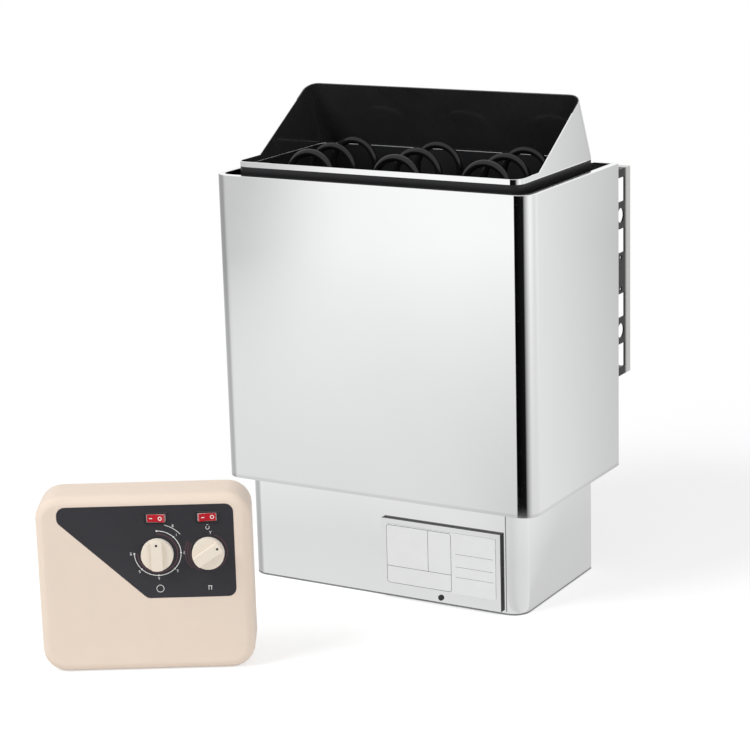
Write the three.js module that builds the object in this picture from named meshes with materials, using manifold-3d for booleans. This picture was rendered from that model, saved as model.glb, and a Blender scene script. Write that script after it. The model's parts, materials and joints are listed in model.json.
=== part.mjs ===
// Electric sauna heater stove with its separate control unit.
// Millimetres, +Z up, +Y towards the wall. The origin lies on the floor under the middle of the casing.

import * as THREE from 'three';
import { mergeVertices } from 'three/addons/utils/BufferGeometryUtils.js';
import Module from 'manifold-3d';

const wasm = await Module();
wasm.setup();

// Fits
const SEAT_GAP = 0.3;
const RUNNING_GAP = 0.4;

// Outer casing
const CASING_WIDTH = 410;
const CASING_DEPTH = 238;
const CASING_HEIGHT = 366;
const CASING_CLEARANCE = 124;
const CASING_SHEET = 1.2;
const CASING_FRONT_BEND = 20;
const CASING_REAR_BEND = 4;
const CASING_HEM = 8;
const CASING_RETURN = 30;

// Base box, set back from the casing, and its plates
const BASE_SIDE_SETBACK = 22.5;
const BASE_FRONT_SETBACK = 16;
const BASE_REAR_SETBACK = 32;
const BASE_FRONT_BEND = 20;
const BASE_REAR_BEND = 3;
const BASE_SHEET = 1.2;
const BASE_LAP = 12;
const BOTTOM_SHEET = 1.5;
const BOTTOM_LIP = 12;
const ELEMENT_PLATE_SHEET = 2;
const ELEMENT_PLATE_OVERHANG = 2;

// Stone compartment, set back from the casing
const COMPARTMENT_SIDE_SETBACK = 21.5;
const COMPARTMENT_FRONT_SETBACK = 20;
const COMPARTMENT_REAR_SETBACK = 19.5;
const COMPARTMENT_SHEET = 1.5;
const COMPARTMENT_FRONT_BEND = 12.5;
const COMPARTMENT_REAR_BEND = 16;

// Steam guard, measured up from the top of the casing
const RIM_RISE = 7;
const RIM_HEIGHT = 6.5;
const GUARD_RISE = 85;
const GUARD_LEAN = 34;
const GUARD_FOOT = 3;
const CHEEK_START = 50;

// Heating elements, with the gaps between their loops and the compartment's walls
const ELEMENT_TUBE = 8.5;
const ELEMENT_TAIL = 14;
const LOOP_WIDTH = 66;
const LOOP_SIDE_GAP = 34;
const LOOP_FRONT_GAP = 47;
const LOOP_REAR_GAP = 38;
const LOOP_RISE = 24;
const BUSH_WALL = 2.5;
const BUSH_FLANGE = 3;
const BUSH_FLANGE_HEIGHT = 3;
const BEAD_DIAMETER = 7.5;
const BEAD_LENGTH = 5;
const PIN_DIAMETER = 4;
const PIN_LENGTH = 14;

// Stone grate
const GRATE_RISE = 62;
const GRATE_BAR_WIDTH = 6;
const GRATE_BAR_HEIGHT = 10;
const GRATE_STRIP = 3;
const GRATE_EDGE = 20;

// Spacers that hold the compartment in the casing
const SPACER_SHEET = 1.5;
const SPACER_FLANGE = 18;
const SPACER_TOP_DROP = 50;
const SPACER_LOW_RISE = 50;
const REAR_SPACER_LENGTH = 240;

// Terminal cover on the front of the base
const COVER_LEFT = 3;
const COVER_RIGHT_MARGIN = 24.5;
const COVER_BOTTOM = 4;
const COVER_HEIGHT = 93;
const COVER_PROUD = 5;
const COVER_SHEET = 1.2;
const ACCESS_MARGIN = 13;
const SCREW_RISE = 6;
const SCREW_DIAMETER = 3.5;
const SCREW_LENGTH = 12;
const SCREW_HEAD = 7;
const SCREW_HEAD_HEIGHT = 2.2;
const PLATE_SHEET = 0.5;
const PLATE_MARGIN = 6;
const PLATE_RISE = 14;

// Wiring inside the base
const POLE_COUNT = 4;
const POLE_PITCH = 20;
const POLE_BARRIER = 2.4;
const BLOCK_SETBACK = 20;
const BLOCK_DEPTH = 28;
const BLOCK_HEIGHT = 34;
const BLOCK_STEP = 12;
const WIRE_DIAMETER = 3.6;
const WIRE_STAND = 20;
const BAR_WIDTH = 12;
const BAR_SHEET = 2;
const BAR_MARGIN = 9;
const STUD_DIAMETER = 6;
const STUD_HEIGHT = 22;
const STUD_NUT = 12;
const STUD_NUT_HEIGHT = 5;
const STUD_SIDE_INSET = 62;
const STUD_REAR_INSET = 47;
const GLAND_SIDE_INSET = 72;
const GLAND_Z = 48;
const GLAND_BORE = 14;
const GLAND_THREAD = 22;
const GLAND_FLANGE = 30;
const GLAND_FLANGE_DEPTH = 5;
const GLAND_CAP_DEPTH = 14;
const GLAND_NUT_DEPTH = 5;

// Wall bracket, with its holes and punchings measured from its ends, and the hooks that hang on it
const WALL_DISTANCE = 42;
const BRACKET_SIDE_SETBACK = 5;
const BRACKET_DROP = 10;
const BRACKET_HEIGHT = 249;
const BRACKET_SHEET = 2;
const BRACKET_BAR = 42;
const BRACKET_SIDE = 6;
const BRACKET_NOTCH = 24;
const BRACKET_END_BAR = 5;
const WALL_HOLE = 7;
const WALL_HOLE_SIDE_INSET = 40;
const WALL_HOLE_END_INSET = 28;
const PUNCH_DEPTH = 22;
const PUNCH_HEIGHT = 29;
const PUNCH_WALL_DISTANCE = 27;
const PUNCH_OUTER_INSET = 24.5;
const PUNCH_INNER_INSET = 85.5;
const ROUND_DIAMETER = 18;
const ROUND_INSET = 55;
const PILOT_DIAMETER = 6;
const PILOT_INSET = 105.5;
const HOOK_WIDTH = 24;
const HOOK_SHEET = 2;
const HOOK_INSET = 23;
const HOOK_FOOT = 26;
const HOOK_REACH = 16;
const HOOK_DROP = 12;

// Control unit and its place on the floor
const CONTROL_X = -108.6;
const CONTROL_Y = -423.6;
const CONTROL_TURN = 30;
const CONTROL_WIDTH = 230;
const CONTROL_HEIGHT = 199;
const CONTROL_DEPTH = 50;
const CONTROL_CORNER = 26;
const CONTROL_EDGE = 10;
const CONTROL_WALL = 2.5;
const CONTROL_BACK_DEPTH = 12;
const HANG_HOLE = 5;
const HANG_HOLE_SIDE_INSET = 45;
const HANG_HOLE_DROP = 25;

// Fascia: its margins on the control unit's front, and the height of its cut-off corner
const FASCIA_LEFT_MARGIN = 24;
const FASCIA_RIGHT_MARGIN = 17.5;
const FASCIA_TOP_MARGIN = 11.5;
const FASCIA_HEIGHT = 104;
const FASCIA_TIP_DROP = 16.5;
const FASCIA_FOOT_WIDTH = 95.5;
const FASCIA_ROUND = 9;
const FASCIA_SHEET = 0.7;

// Knobs, measured from the fascia's top right corner, with their shafts and what they turn
const DIAL_INSET = 28;
const DIAL_PITCH = 54.5;
const DIAL_DROP = 53.5;
const KNOB_DIAMETER = 34.6;
const KNOB_DISC = 8;
const KNOB_GRIP = 4;
const KNOB_GRIP_WIDTH = 12;
const KNOB_GRIP_MARGIN = 0.8;
const KNOB_CLEARANCE = 1;
const KNOB_BORE_DEPTH = 10;
const DOT_DIAMETER = 2.8;
const DOT_RADIUS = 12.4;
const DOT_DEPTH = 0.6;
const THERMOSTAT_REST = 56;
const SHAFT_DIAMETER = 6;
const SHAFT_SEAT = 14;
const NECK_WALL = 2.5;
const TIMER_SIZE = 42;
const TIMER_DEPTH = 30;
const THERMOSTAT_SIZE = 32;
const THERMOSTAT_DEPTH = 20;

// Rocker switches, in line above the knobs
const ROCKER_DROP = 14;
const ROCKER_WIDTH = 20;
const ROCKER_HEIGHT = 8.4;
const ROCKER_TILT = 8;
const ROCKER_VALLEY = 3.4;
const ROCKER_BACK = 5;
const ROCKER_PIN = 2;
const ROCKER_PIN_LENGTH = 0.9;
const SWITCH_WALL = 0.8;
const SWITCH_BEZEL = 1;
const SWITCH_FLANGE = 0.6;
const SWITCH_DEPTH = 16;

// Fittings inside the control unit, measured from its sides and foot
const CONTACTOR_LEFT_INSET = 60;
const CONTACTOR_Z = 105;
const CONTACTOR_WIDTH = 45;
const CONTACTOR_HEIGHT = 62;
const CONTACTOR_DEPTH = 34;
const STRIP_RIGHT_INSET = 90;
const STRIP_Z = 45;
const STRIP_POLES = 6;
const STRIP_PITCH = 12;
const STRIP_BARRIER = 2;
const STRIP_HEIGHT = 22;
const STRIP_DEPTH = 16;
const STRIP_STEP = 7;
const GROMMET_LEFT_INSET = 60;
const GROMMET_Z = 38;
const GROMMET_BORE = 12;
const GROMMET_WALL = 3;
const GROMMET_LIP = 3;
const BOSS_DIAMETER = 9;
const BOSS_INSET = 32;
const BOSS_Z = 24;
const BOSS_SCREW = 3;
const BOSS_SCREW_LENGTH = 24;
const BOSS_SCREW_HEAD = 6;
const BOSS_SCREW_HEAD_HEIGHT = 1.8;

// Fineness of round shapes
const BEND_STEPS = 3;
const ROUND_SIDES = 24;
const SMALL_SIDES = 12;
const TUBE_SIDES = 8;
const CROWN_STEPS = 10;
const FOOT_STEPS = 6;
const WIRE_STEPS = 15;
const EDGE_STEPS = 5;
const MERGE_DISTANCE = 1e-4;
const OVERCUT = 1;

// Places on the stove, worked out from the sizes
const casingHalf = CASING_WIDTH / 2;
const casingFront = -CASING_DEPTH / 2;
const casingRear = CASING_DEPTH / 2;
const casingBottom = CASING_CLEARANCE;
const casingTop = CASING_CLEARANCE + CASING_HEIGHT;
const rearOpeningHalf = casingHalf - CASING_RETURN;
const panelRear = casingRear - CASING_SHEET - SEAT_GAP;
const panelFront = panelRear - CASING_SHEET;

const baseHalf = casingHalf - BASE_SIDE_SETBACK;
const baseFront = casingFront + BASE_FRONT_SETBACK;
const baseRear = casingRear - BASE_REAR_SETBACK;
const baseTop = casingBottom + BASE_LAP;
const baseFloor = BOTTOM_SHEET + SEAT_GAP;

const plateBottom = baseTop + SEAT_GAP;
const plateTop = plateBottom + ELEMENT_PLATE_SHEET;

const compartmentHalf = casingHalf - COMPARTMENT_SIDE_SETBACK;
const compartmentFront = casingFront + COMPARTMENT_FRONT_SETBACK;
const compartmentRear = casingRear - COMPARTMENT_REAR_SETBACK;
const compartmentFloor = plateTop + SEAT_GAP;

const guardBottom = casingTop + RIM_RISE;
const rimTop = guardBottom + RIM_HEIGHT;
const guardTop = casingTop + GUARD_RISE;

const tubeRadius = ELEMENT_TUBE / 2;
const loopRadius = LOOP_WIDTH / 2 - tubeRadius;
const elementPitch = compartmentHalf - COMPARTMENT_SHEET - LOOP_SIDE_GAP - LOOP_WIDTH / 2;
const elementColumns = { left: -elementPitch, centre: 0, right: elementPitch };
const loopNear = compartmentFront + COMPARTMENT_SHEET + LOOP_FRONT_GAP + tubeRadius;
const loopFar = compartmentRear - COMPARTMENT_SHEET - LOOP_REAR_GAP - tubeRadius;
const loopMiddle = (loopNear + loopFar) / 2;
const footRadius = (loopMiddle - loopNear) / 2;
const tubeEnd = plateBottom - ELEMENT_TAIL;
const bushStem = tubeRadius + SEAT_GAP + BUSH_WALL;
const pinRadius = PIN_DIAMETER / 2;
const beadTop = tubeEnd - SEAT_GAP;
const beadBottom = beadTop - BEAD_LENGTH;
const pinBottom = beadBottom - PIN_LENGTH;

const grateTop = plateTop + GRATE_RISE;
const grateBarBottom = grateTop - GRATE_BAR_HEIGHT;

const coverFront = baseFront - COVER_PROUD;
const coverRight = baseHalf - COVER_RIGHT_MARGIN;
const coverTop = COVER_BOTTOM + COVER_HEIGHT;
const coverMiddle = (COVER_LEFT + coverRight) / 2;
const screwZ = COVER_BOTTOM + SCREW_RISE;
const screwHole = SCREW_DIAMETER / 2 + SEAT_GAP;

const blockTop = baseFloor + BLOCK_HEIGHT;
const blockFront = baseFront + BLOCK_SETBACK;
const blockRear = blockFront + BLOCK_DEPTH;
const blockHalf = (POLE_COUNT * POLE_PITCH + POLE_BARRIER) / 2;
const wireY = (blockFront + BLOCK_STEP + blockRear) / 2;
const wireZ = blockTop + SEAT_GAP;
const barLow = beadBottom - SEAT_GAP - BAR_SHEET;
const glandX = baseHalf - GLAND_SIDE_INSET;

const wallY = casingRear + WALL_DISTANCE;
const bracketHalf = casingHalf - BRACKET_SIDE_SETBACK;
const bracketTop = casingTop - BRACKET_DROP;
const bracketBottom = bracketTop - BRACKET_HEIGHT;
const bracketFront = casingRear + SEAT_GAP;
const hookX = rearOpeningHalf - HOOK_INSET - HOOK_WIDTH / 2;
const hookFoot = panelRear + SEAT_GAP;
const tongueRear = casingRear + HOOK_REACH;
const tongueFront = tongueRear - HOOK_SHEET;

// Places on the control unit, from the middle of its foot and back from its front
const controlHalf = CONTROL_WIDTH / 2;
const shellRear = CONTROL_DEPTH - CONTROL_BACK_DEPTH;
const backFront = shellRear + SEAT_GAP;
const backFloor = CONTROL_DEPTH - CONTROL_WALL;
const fittingRear = backFloor - SEAT_GAP;
const bossX = controlHalf - BOSS_INSET;
const contactorX = -controlHalf + CONTACTOR_LEFT_INSET;
const stripX = controlHalf - STRIP_RIGHT_INSET;
const grommetX = -controlHalf + GROMMET_LEFT_INSET;

const fasciaLeft = -controlHalf + FASCIA_LEFT_MARGIN;
const fasciaRight = controlHalf - FASCIA_RIGHT_MARGIN;
const fasciaTop = CONTROL_HEIGHT - FASCIA_TOP_MARGIN;
const fasciaBottom = fasciaTop - FASCIA_HEIGHT;
const fasciaRecess = FASCIA_SHEET + SEAT_GAP;

const thermostatX = fasciaRight - DIAL_INSET;
const timerX = thermostatX - DIAL_PITCH;
const dialZ = fasciaTop - DIAL_DROP;
const rockerZ = fasciaTop - ROCKER_DROP;
const shaftRadius = SHAFT_DIAMETER / 2;
const neckBore = shaftRadius + RUNNING_GAP;
const neckRadius = neckBore + NECK_WALL;
const bodyFront = CONTROL_WALL + SEAT_GAP;
const knobRear = -KNOB_CLEARANCE;
const discFront = knobRear - KNOB_DISC;
const knobFront = discFront - KNOB_GRIP;

const rockerHalf = ROCKER_WIDTH / 2;
const rockerTop = ROCKER_HEIGHT / 2;
const cavityHalf = rockerHalf + RUNNING_GAP;
const cavityTop = rockerTop + RUNNING_GAP;
const switchHalf = cavityHalf + SWITCH_WALL;
const switchTop = cavityTop + SWITCH_WALL;
const bezelRear = -SEAT_GAP;
const bezelFront = bezelRear - SWITCH_BEZEL;
const pivotY = bezelFront + ROCKER_VALLEY;

// Finishes: colour, roughness and metalness of each kind of surface
const FINISHES = {
  polishedSteel: [0xdcdddd, 0.12, 1],
  darkSteel: [0x3a3b3d, 0.3, 1],
  galvanised: [0x5d6062, 0.5, 0.9],
  elementSteel: [0x37383a, 0.35, 0.9],
  plainSteel: [0xa9abad, 0.35, 1],
  brass: [0xb08d4a, 0.35, 1],
  ceramic: [0xe9e6de, 0.5, 0],
  label: [0xd5d7d8, 0.4, 0.3],
  beigePlastic: [0xe6d8c8, 0.5, 0],
  creamPlastic: [0xefe9dd, 0.45, 0],
  darkPlastic: [0x38383c, 0.45, 0],
  blackPlastic: [0x1c1c1e, 0.5, 0],
  redPlastic: [0xc0303a, 0.3, 0],
  whitePlastic: [0xe6e4dd, 0.5, 0],
  brownWire: [0x5b3a24, 0.5, 0],
  blueWire: [0x2d4f8f, 0.5, 0],
};

function radians(degrees) {
  return THREE.MathUtils.degToRad(degrees);
}

// A closed geometry becomes a solid with its faces pointing out.
function solidFrom(geometry) {
  const bare = geometry.clone();
  bare.deleteAttribute('normal');
  bare.deleteAttribute('uv');
  const merged = mergeVertices(bare, MERGE_DISTANCE);
  const corners = merged.index.array;
  const place = merged.attributes.position;
  const triangles = [];
  const a = new THREE.Vector3();
  const b = new THREE.Vector3();
  const c = new THREE.Vector3();
  let volume = 0;
  for (let i = 0; i < corners.length; i += 3) {
    const [p, q, r] = corners.slice(i, i + 3);
    if (p === q || q === r || r === p) continue;
    triangles.push([p, q, r]);
    a.fromBufferAttribute(place, p);
    b.fromBufferAttribute(place, q);
    c.fromBufferAttribute(place, r);
    volume += a.dot(b.cross(c));
  }
  const facingOut = volume < 0 ? triangles.map(([p, q, r]) => [p, r, q]) : triangles;
  return new wasm.Manifold(new wasm.Mesh({
    numProp: 3,
    vertProperties: new Float32Array(place.array),
    triVerts: new Uint32Array(facingOut.flat()),
  }));
}

function geometryFrom(solid) {
  const mesh = solid.getMesh();
  const geometry = new THREE.BufferGeometry();
  geometry.setAttribute('position', new THREE.BufferAttribute(new Float32Array(mesh.vertProperties), 3));
  geometry.setIndex(new THREE.BufferAttribute(new Uint32Array(mesh.triVerts), 1));
  geometry.computeVertexNormals();
  return geometry;
}

function join(first, ...others) {
  return others.reduce((whole, other) => whole.add(other), first);
}

function cut(whole, ...tools) {
  return tools.reduce((left, tool) => left.subtract(tool), whole);
}

function block(left, right, front, rear, low, high) {
  const geometry = new THREE.BoxGeometry(right - left, rear - front, high - low);
  geometry.translate((left + right) / 2, (front + rear) / 2, (low + high) / 2);
  return solidFrom(geometry);
}

// An upright rod, a rod from front to rear and a rod across
function rod(radius, x, y, low, high, sides = ROUND_SIDES) {
  const geometry = new THREE.CylinderGeometry(radius, radius, high - low, sides);
  geometry.rotateX(Math.PI / 2);
  geometry.translate(x, y, (low + high) / 2);
  return solidFrom(geometry);
}

function reachRod(radius, x, z, front, rear, sides = ROUND_SIDES) {
  const geometry = new THREE.CylinderGeometry(radius, radius, rear - front, sides);
  geometry.translate(x, (front + rear) / 2, z);
  return solidFrom(geometry);
}

function acrossRod(radius, y, z, left, right, sides = ROUND_SIDES) {
  const geometry = new THREE.CylinderGeometry(radius, radius, right - left, sides);
  geometry.rotateZ(Math.PI / 2);
  geometry.translate((left + right) / 2, y, z);
  return solidFrom(geometry);
}

// Extrusions: a plan outline raised, a front outline reaching back and a side outline running across
function extrusion(outline, depth) {
  return new THREE.ExtrudeGeometry(outline, { depth, bevelEnabled: false, curveSegments: BEND_STEPS });
}

function raise(outline, low, high) {
  const geometry = extrusion(outline, high - low);
  geometry.translate(0, 0, low);
  return solidFrom(geometry);
}

function reach(outline, front, rear) {
  const geometry = extrusion(outline, rear - front);
  geometry.rotateX(Math.PI / 2);
  geometry.translate(0, rear, 0);
  return solidFrom(geometry);
}

function across(outline, left, right) {
  const geometry = extrusion(outline, right - left);
  const xAxis = new THREE.Vector3(1, 0, 0);
  const yAxis = new THREE.Vector3(0, 1, 0);
  const zAxis = new THREE.Vector3(0, 0, 1);
  geometry.applyMatrix4(new THREE.Matrix4().makeBasis(yAxis, zAxis, xAxis));
  geometry.translate(left, 0, 0);
  return solidFrom(geometry);
}

// Turned pieces, from pairs of radius and place along an upright axis or an axis from front to rear
function latheFrom(profile, sides) {
  return new THREE.LatheGeometry(profile.map(([radius, along]) => new THREE.Vector2(radius, along)), sides);
}

function turned(profile, x, y, sides = ROUND_SIDES) {
  const geometry = latheFrom(profile, sides);
  geometry.rotateX(Math.PI / 2);
  geometry.translate(x, y, 0);
  return solidFrom(geometry);
}

function reachTurned(profile, x, z, sides = ROUND_SIDES) {
  const geometry = latheFrom(profile, sides);
  geometry.translate(x, 0, z);
  return solidFrom(geometry);
}

// Rounded rectangle with one bend radius at its low end and another at its high end
function roundedOutline(left, right, low, high, lowBend, highBend) {
  const outline = new THREE.Shape();
  const quarter = Math.PI / 2;
  const corners = [
    [right - lowBend, low + lowBend, lowBend],
    [right - highBend, high - highBend, highBend],
    [left + highBend, high - highBend, highBend],
    [left + lowBend, low + lowBend, lowBend],
  ];
  corners.forEach(([x, y, bend], i) => {
    const start = (i - 1) * quarter;
    if (bend > 0) outline.absarc(x, y, bend, start, start + quarter, false);
    else outline.lineTo(x, y);
  });
  return outline;
}

function disc(x, y, diameter) {
  return roundedOutline(
    x - diameter / 2, x + diameter / 2, y - diameter / 2, y + diameter / 2, diameter / 2, diameter / 2,
  );
}

// A polygon with every corner rounded, grown outwards all round
function roundedPolygon(corners, radius, grow) {
  const outline = new THREE.Shape();
  corners.forEach((corner, i) => {
    const arriving = corner.clone().sub(corners.at(i - 1)).normalize();
    const leaving = corners[(i + 1) % corners.length].clone().sub(corner).normalize();
    const turn = arriving.angleTo(leaving);
    const centre = leaving.clone().sub(arriving).setLength(radius / Math.cos(turn / 2)).add(corner);
    const start = Math.atan2(-arriving.x, arriving.y);
    outline.absarc(centre.x, centre.y, radius + grow, start, start + turn, false);
  });
  return outline;
}

function sheetRing(outlineAt, sheet, low, high) {
  return cut(raise(outlineAt(0), low, high), raise(outlineAt(sheet), low - OVERCUT, high + OVERCUT));
}

// A path with one step between each two of its points
class StepPath extends THREE.Curve {
  constructor(points) {
    super();
    this.points = points;
  }

  getUtoTmapping(u) {
    return u;
  }

  getPoint(t, target = new THREE.Vector3()) {
    const along = t * (this.points.length - 1);
    const step = Math.min(Math.floor(along), this.points.length - 2);
    return target.lerpVectors(this.points[step], this.points[step + 1], along - step);
  }
}

function tube(points, diameter) {
  const geometry = new THREE.ExtrudeGeometry(disc(0, 0, diameter), {
    steps: points.length - 1,
    extrudePath: new StepPath(points),
    curveSegments: TUBE_SIDES / 8,
  });
  return solidFrom(geometry);
}

function wire(route) {
  const curve = new THREE.CatmullRomCurve3(route.map((place) => new THREE.Vector3(...place)));
  return tube(curve.getPoints(WIRE_STEPS), WIRE_DIAMETER);
}

const heater = new THREE.Group();
const control = new THREE.Group();
control.position.set(CONTROL_X, CONTROL_Y, 0);
control.rotation.z = radians(CONTROL_TURN);

function addPiece(group, name, solid, finish) {
  const [color, roughness, metalness] = FINISHES[finish];
  const material = new THREE.MeshStandardMaterial({ color, roughness, metalness });
  const mesh = new THREE.Mesh(geometryFrom(solid), material);
  mesh.name = name;
  group.add(mesh);
  return mesh;
}

// Outer casing: front and sides in one bent sheet, hemmed inwards, with a return flange at each rear edge
function casingOutline(inset) {
  return roundedOutline(
    -casingHalf + inset,
    casingHalf - inset,
    casingFront + inset,
    casingRear - inset,
    Math.max(CASING_FRONT_BEND - inset, 0),
    Math.max(CASING_REAR_BEND - inset, 0),
  );
}

function makeCasing() {
  const wall = sheetRing(casingOutline, CASING_SHEET, casingBottom, casingTop);
  const topHem = sheetRing(casingOutline, CASING_HEM, casingTop - CASING_SHEET, casingTop);
  const bottomHem = sheetRing(casingOutline, CASING_HEM, casingBottom, casingBottom + CASING_SHEET);
  const opening = block(
    -rearOpeningHalf, rearOpeningHalf, casingRear - CASING_HEM - OVERCUT, casingRear + OVERCUT,
    casingBottom - OVERCUT, casingTop + OVERCUT,
  );
  return cut(join(wall, topHem, bottomHem), opening);
}

function makeBackPanel() {
  const half = casingHalf - Math.max(CASING_SHEET, CASING_REAR_BEND) - SEAT_GAP;
  const low = casingBottom + CASING_SHEET + SEAT_GAP;
  const high = casingTop - CASING_SHEET - SEAT_GAP;
  return block(-half, half, panelFront, panelRear, low, high);
}

addPiece(heater, 'outer_casing', makeCasing(), 'polishedSteel');
addPiece(heater, 'back_panel', makeBackPanel(), 'galvanised');

// Stone compartment, and the steam guard that stands on it with the same plan
function compartmentOutline(inset) {
  return roundedOutline(
    -compartmentHalf + inset,
    compartmentHalf - inset,
    compartmentFront + inset,
    compartmentRear - inset,
    Math.max(COMPARTMENT_FRONT_BEND - inset, 0),
    Math.max(COMPARTMENT_REAR_BEND - inset, 0),
  );
}

function makeCompartment() {
  return sheetRing(compartmentOutline, COMPARTMENT_SHEET, compartmentFloor, guardBottom - SEAT_GAP);
}

// Rim strip in front, a slanted cheek at each side and a back plate that leans forward
function makeSteamGuard() {
  const leanStart = guardBottom + GUARD_FOOT;
  const leanHeight = guardTop - leanStart;
  const cheekFront = compartmentFront + CHEEK_START;
  const backTop = compartmentRear - GUARD_LEAN;
  const slope = (guardTop - rimTop) / (backTop - cheekFront);

  const collar = sheetRing(compartmentOutline, COMPARTMENT_SHEET, guardBottom, rimTop);
  const rearOfCollar = block(-casingHalf, casingHalf, cheekFront, casingRear, leanStart, rimTop + OVERCUT);

  const ring = compartmentOutline(0);
  ring.holes.push(compartmentOutline(COMPARTMENT_SHEET));
  const leaning = extrusion(ring, leanHeight);
  leaning.applyMatrix4(new THREE.Matrix4().makeShear(0, 0, 0, 0, 0, -GUARD_LEAN / leanHeight));
  leaning.translate(0, 0, leanStart);

  const side = new THREE.Shape();
  side.moveTo(cheekFront - (rimTop - leanStart) / slope, leanStart);
  side.lineTo(casingRear, leanStart);
  side.lineTo(casingRear, guardTop);
  side.lineTo(backTop, guardTop);
  const cheeks = solidFrom(leaning).intersect(across(side, -casingHalf, casingHalf));
  return join(cut(collar, rearOfCollar), cheeks);
}

addPiece(heater, 'stone_compartment', makeCompartment(), 'darkSteel');
addPiece(heater, 'steam_guard', makeSteamGuard(), 'polishedSteel');

// Heating elements: one tube each, bent into three upright loops one behind the other
function elementPath(x) {
  const crownZ = casingTop + LOOP_RISE - tubeRadius - loopRadius;
  const points = [new THREE.Vector3(x - loopRadius, loopNear, tubeEnd)];
  const addCrown = (y, direction) => {
    for (let i = 0; i <= CROWN_STEPS; i += 1) {
      const angle = Math.PI * i / CROWN_STEPS;
      const sideways = -direction * loopRadius * Math.cos(angle);
      points.push(new THREE.Vector3(x + sideways, y, crownZ + loopRadius * Math.sin(angle)));
    }
  };
  const addFoot = (sideways, from) => {
    for (let i = 0; i <= FOOT_STEPS; i += 1) {
      const angle = Math.PI * i / FOOT_STEPS;
      const y = from + footRadius - footRadius * Math.cos(angle);
      points.push(new THREE.Vector3(x + sideways, y, grateBarBottom - footRadius * Math.sin(angle)));
    }
  };
  addCrown(loopNear, 1);
  addFoot(loopRadius, loopNear);
  addCrown(loopMiddle, -1);
  addFoot(-loopRadius, loopMiddle);
  addCrown(loopFar, 1);
  points.push(new THREE.Vector3(x + loopRadius, loopFar, tubeEnd));
  return points;
}

function elementEnds(x) {
  return { front: [x - loopRadius, loopNear], rear: [x + loopRadius, loopFar] };
}

function makeBush(x, y) {
  const bore = tubeRadius + SEAT_GAP;
  const rim = bushStem + BUSH_FLANGE;
  const low = plateBottom - SEAT_GAP;
  const high = plateTop + SEAT_GAP;
  return turned([
    [bore, low - BUSH_FLANGE_HEIGHT],
    [rim, low - BUSH_FLANGE_HEIGHT],
    [rim, low],
    [bushStem, low],
    [bushStem, high],
    [rim, high],
    [rim, high + BUSH_FLANGE_HEIGHT],
    [bore, high + BUSH_FLANGE_HEIGHT],
    [bore, low - BUSH_FLANGE_HEIGHT],
  ], x, y, SMALL_SIDES);
}

function makeElementTerminal(x, y) {
  return turned([
    [0, pinBottom],
    [pinRadius, pinBottom],
    [pinRadius, beadBottom],
    [BEAD_DIAMETER / 2, beadBottom],
    [BEAD_DIAMETER / 2, beadTop],
    [0, beadTop],
  ], x, y, SMALL_SIDES);
}

for (const [column, x] of Object.entries(elementColumns)) {
  addPiece(heater, `heating_element_${column}`, tube(elementPath(x), ELEMENT_TUBE), 'elementSteel');
  for (const [end, [endX, endY]] of Object.entries(elementEnds(x))) {
    addPiece(heater, `element_bush_${column}_${end}`, makeBush(endX, endY), 'brass');
    addPiece(heater, `element_terminal_${column}_${end}`, makeElementTerminal(endX, endY), 'ceramic');
  }
}

// Element plate: the floor of the compartment, on top of the base
function makeElementPlate() {
  const half = Math.max(baseHalf, compartmentHalf) + ELEMENT_PLATE_OVERHANG;
  const front = Math.min(baseFront, compartmentFront) - ELEMENT_PLATE_OVERHANG;
  const rear = Math.max(baseRear, compartmentRear) + ELEMENT_PLATE_OVERHANG;
  const outline = roundedOutline(-half, half, front, rear, BASE_FRONT_BEND, COMPARTMENT_REAR_BEND);
  const ends = Object.values(elementColumns).flatMap((x) => Object.values(elementEnds(x)));
  const holes = ends.map(([x, y]) => (
    rod(bushStem + SEAT_GAP, x, y, plateBottom - OVERCUT, plateTop + OVERCUT)
  ));
  return cut(raise(outline, plateBottom, plateTop), ...holes);
}

// Stone grate: bars between the loops, on an upright strip at each end
function makeStoneGrate() {
  const half = compartmentHalf - COMPARTMENT_SHEET - SEAT_GAP;
  const halfBar = GRATE_BAR_WIDTH / 2;
  const frontBar = compartmentFront + COMPARTMENT_SHEET + GRATE_EDGE;
  const rearBar = compartmentRear - COMPARTMENT_SHEET - GRATE_EDGE;
  const nearBar = (loopNear + loopMiddle) / 2;
  const farBar = (loopMiddle + loopFar) / 2;
  const bars = [frontBar, nearBar, farBar, rearBar].map((y) => (
    block(-half, half, y - halfBar, y + halfBar, grateBarBottom, grateTop)
  ));
  const strips = [-half, half - GRATE_STRIP].map((left) => (
    block(left, left + GRATE_STRIP, frontBar - halfBar, rearBar + halfBar, compartmentFloor, grateTop)
  ));
  return join(...strips, ...bars);
}

addPiece(heater, 'element_plate', makeElementPlate(), 'galvanised');
addPiece(heater, 'stone_grate', makeStoneGrate(), 'darkSteel');

// Spacers: channels upright at the sides and bent strips across the rear
function makeSideSpacer(side) {
  const inner = compartmentHalf + SEAT_GAP;
  const outer = casingHalf - CASING_SHEET - SEAT_GAP;
  const profile = new THREE.Shape();
  profile.moveTo(side * inner, 0);
  profile.lineTo(side * outer, 0);
  profile.lineTo(side * outer, SPACER_FLANGE);
  profile.lineTo(side * (outer - SPACER_SHEET), SPACER_FLANGE);
  profile.lineTo(side * (outer - SPACER_SHEET), SPACER_SHEET);
  profile.lineTo(side * (inner + SPACER_SHEET), SPACER_SHEET);
  profile.lineTo(side * (inner + SPACER_SHEET), SPACER_FLANGE);
  profile.lineTo(side * inner, SPACER_FLANGE);
  return raise(profile, plateTop + SPACER_LOW_RISE, casingTop - SPACER_TOP_DROP);
}

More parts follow.
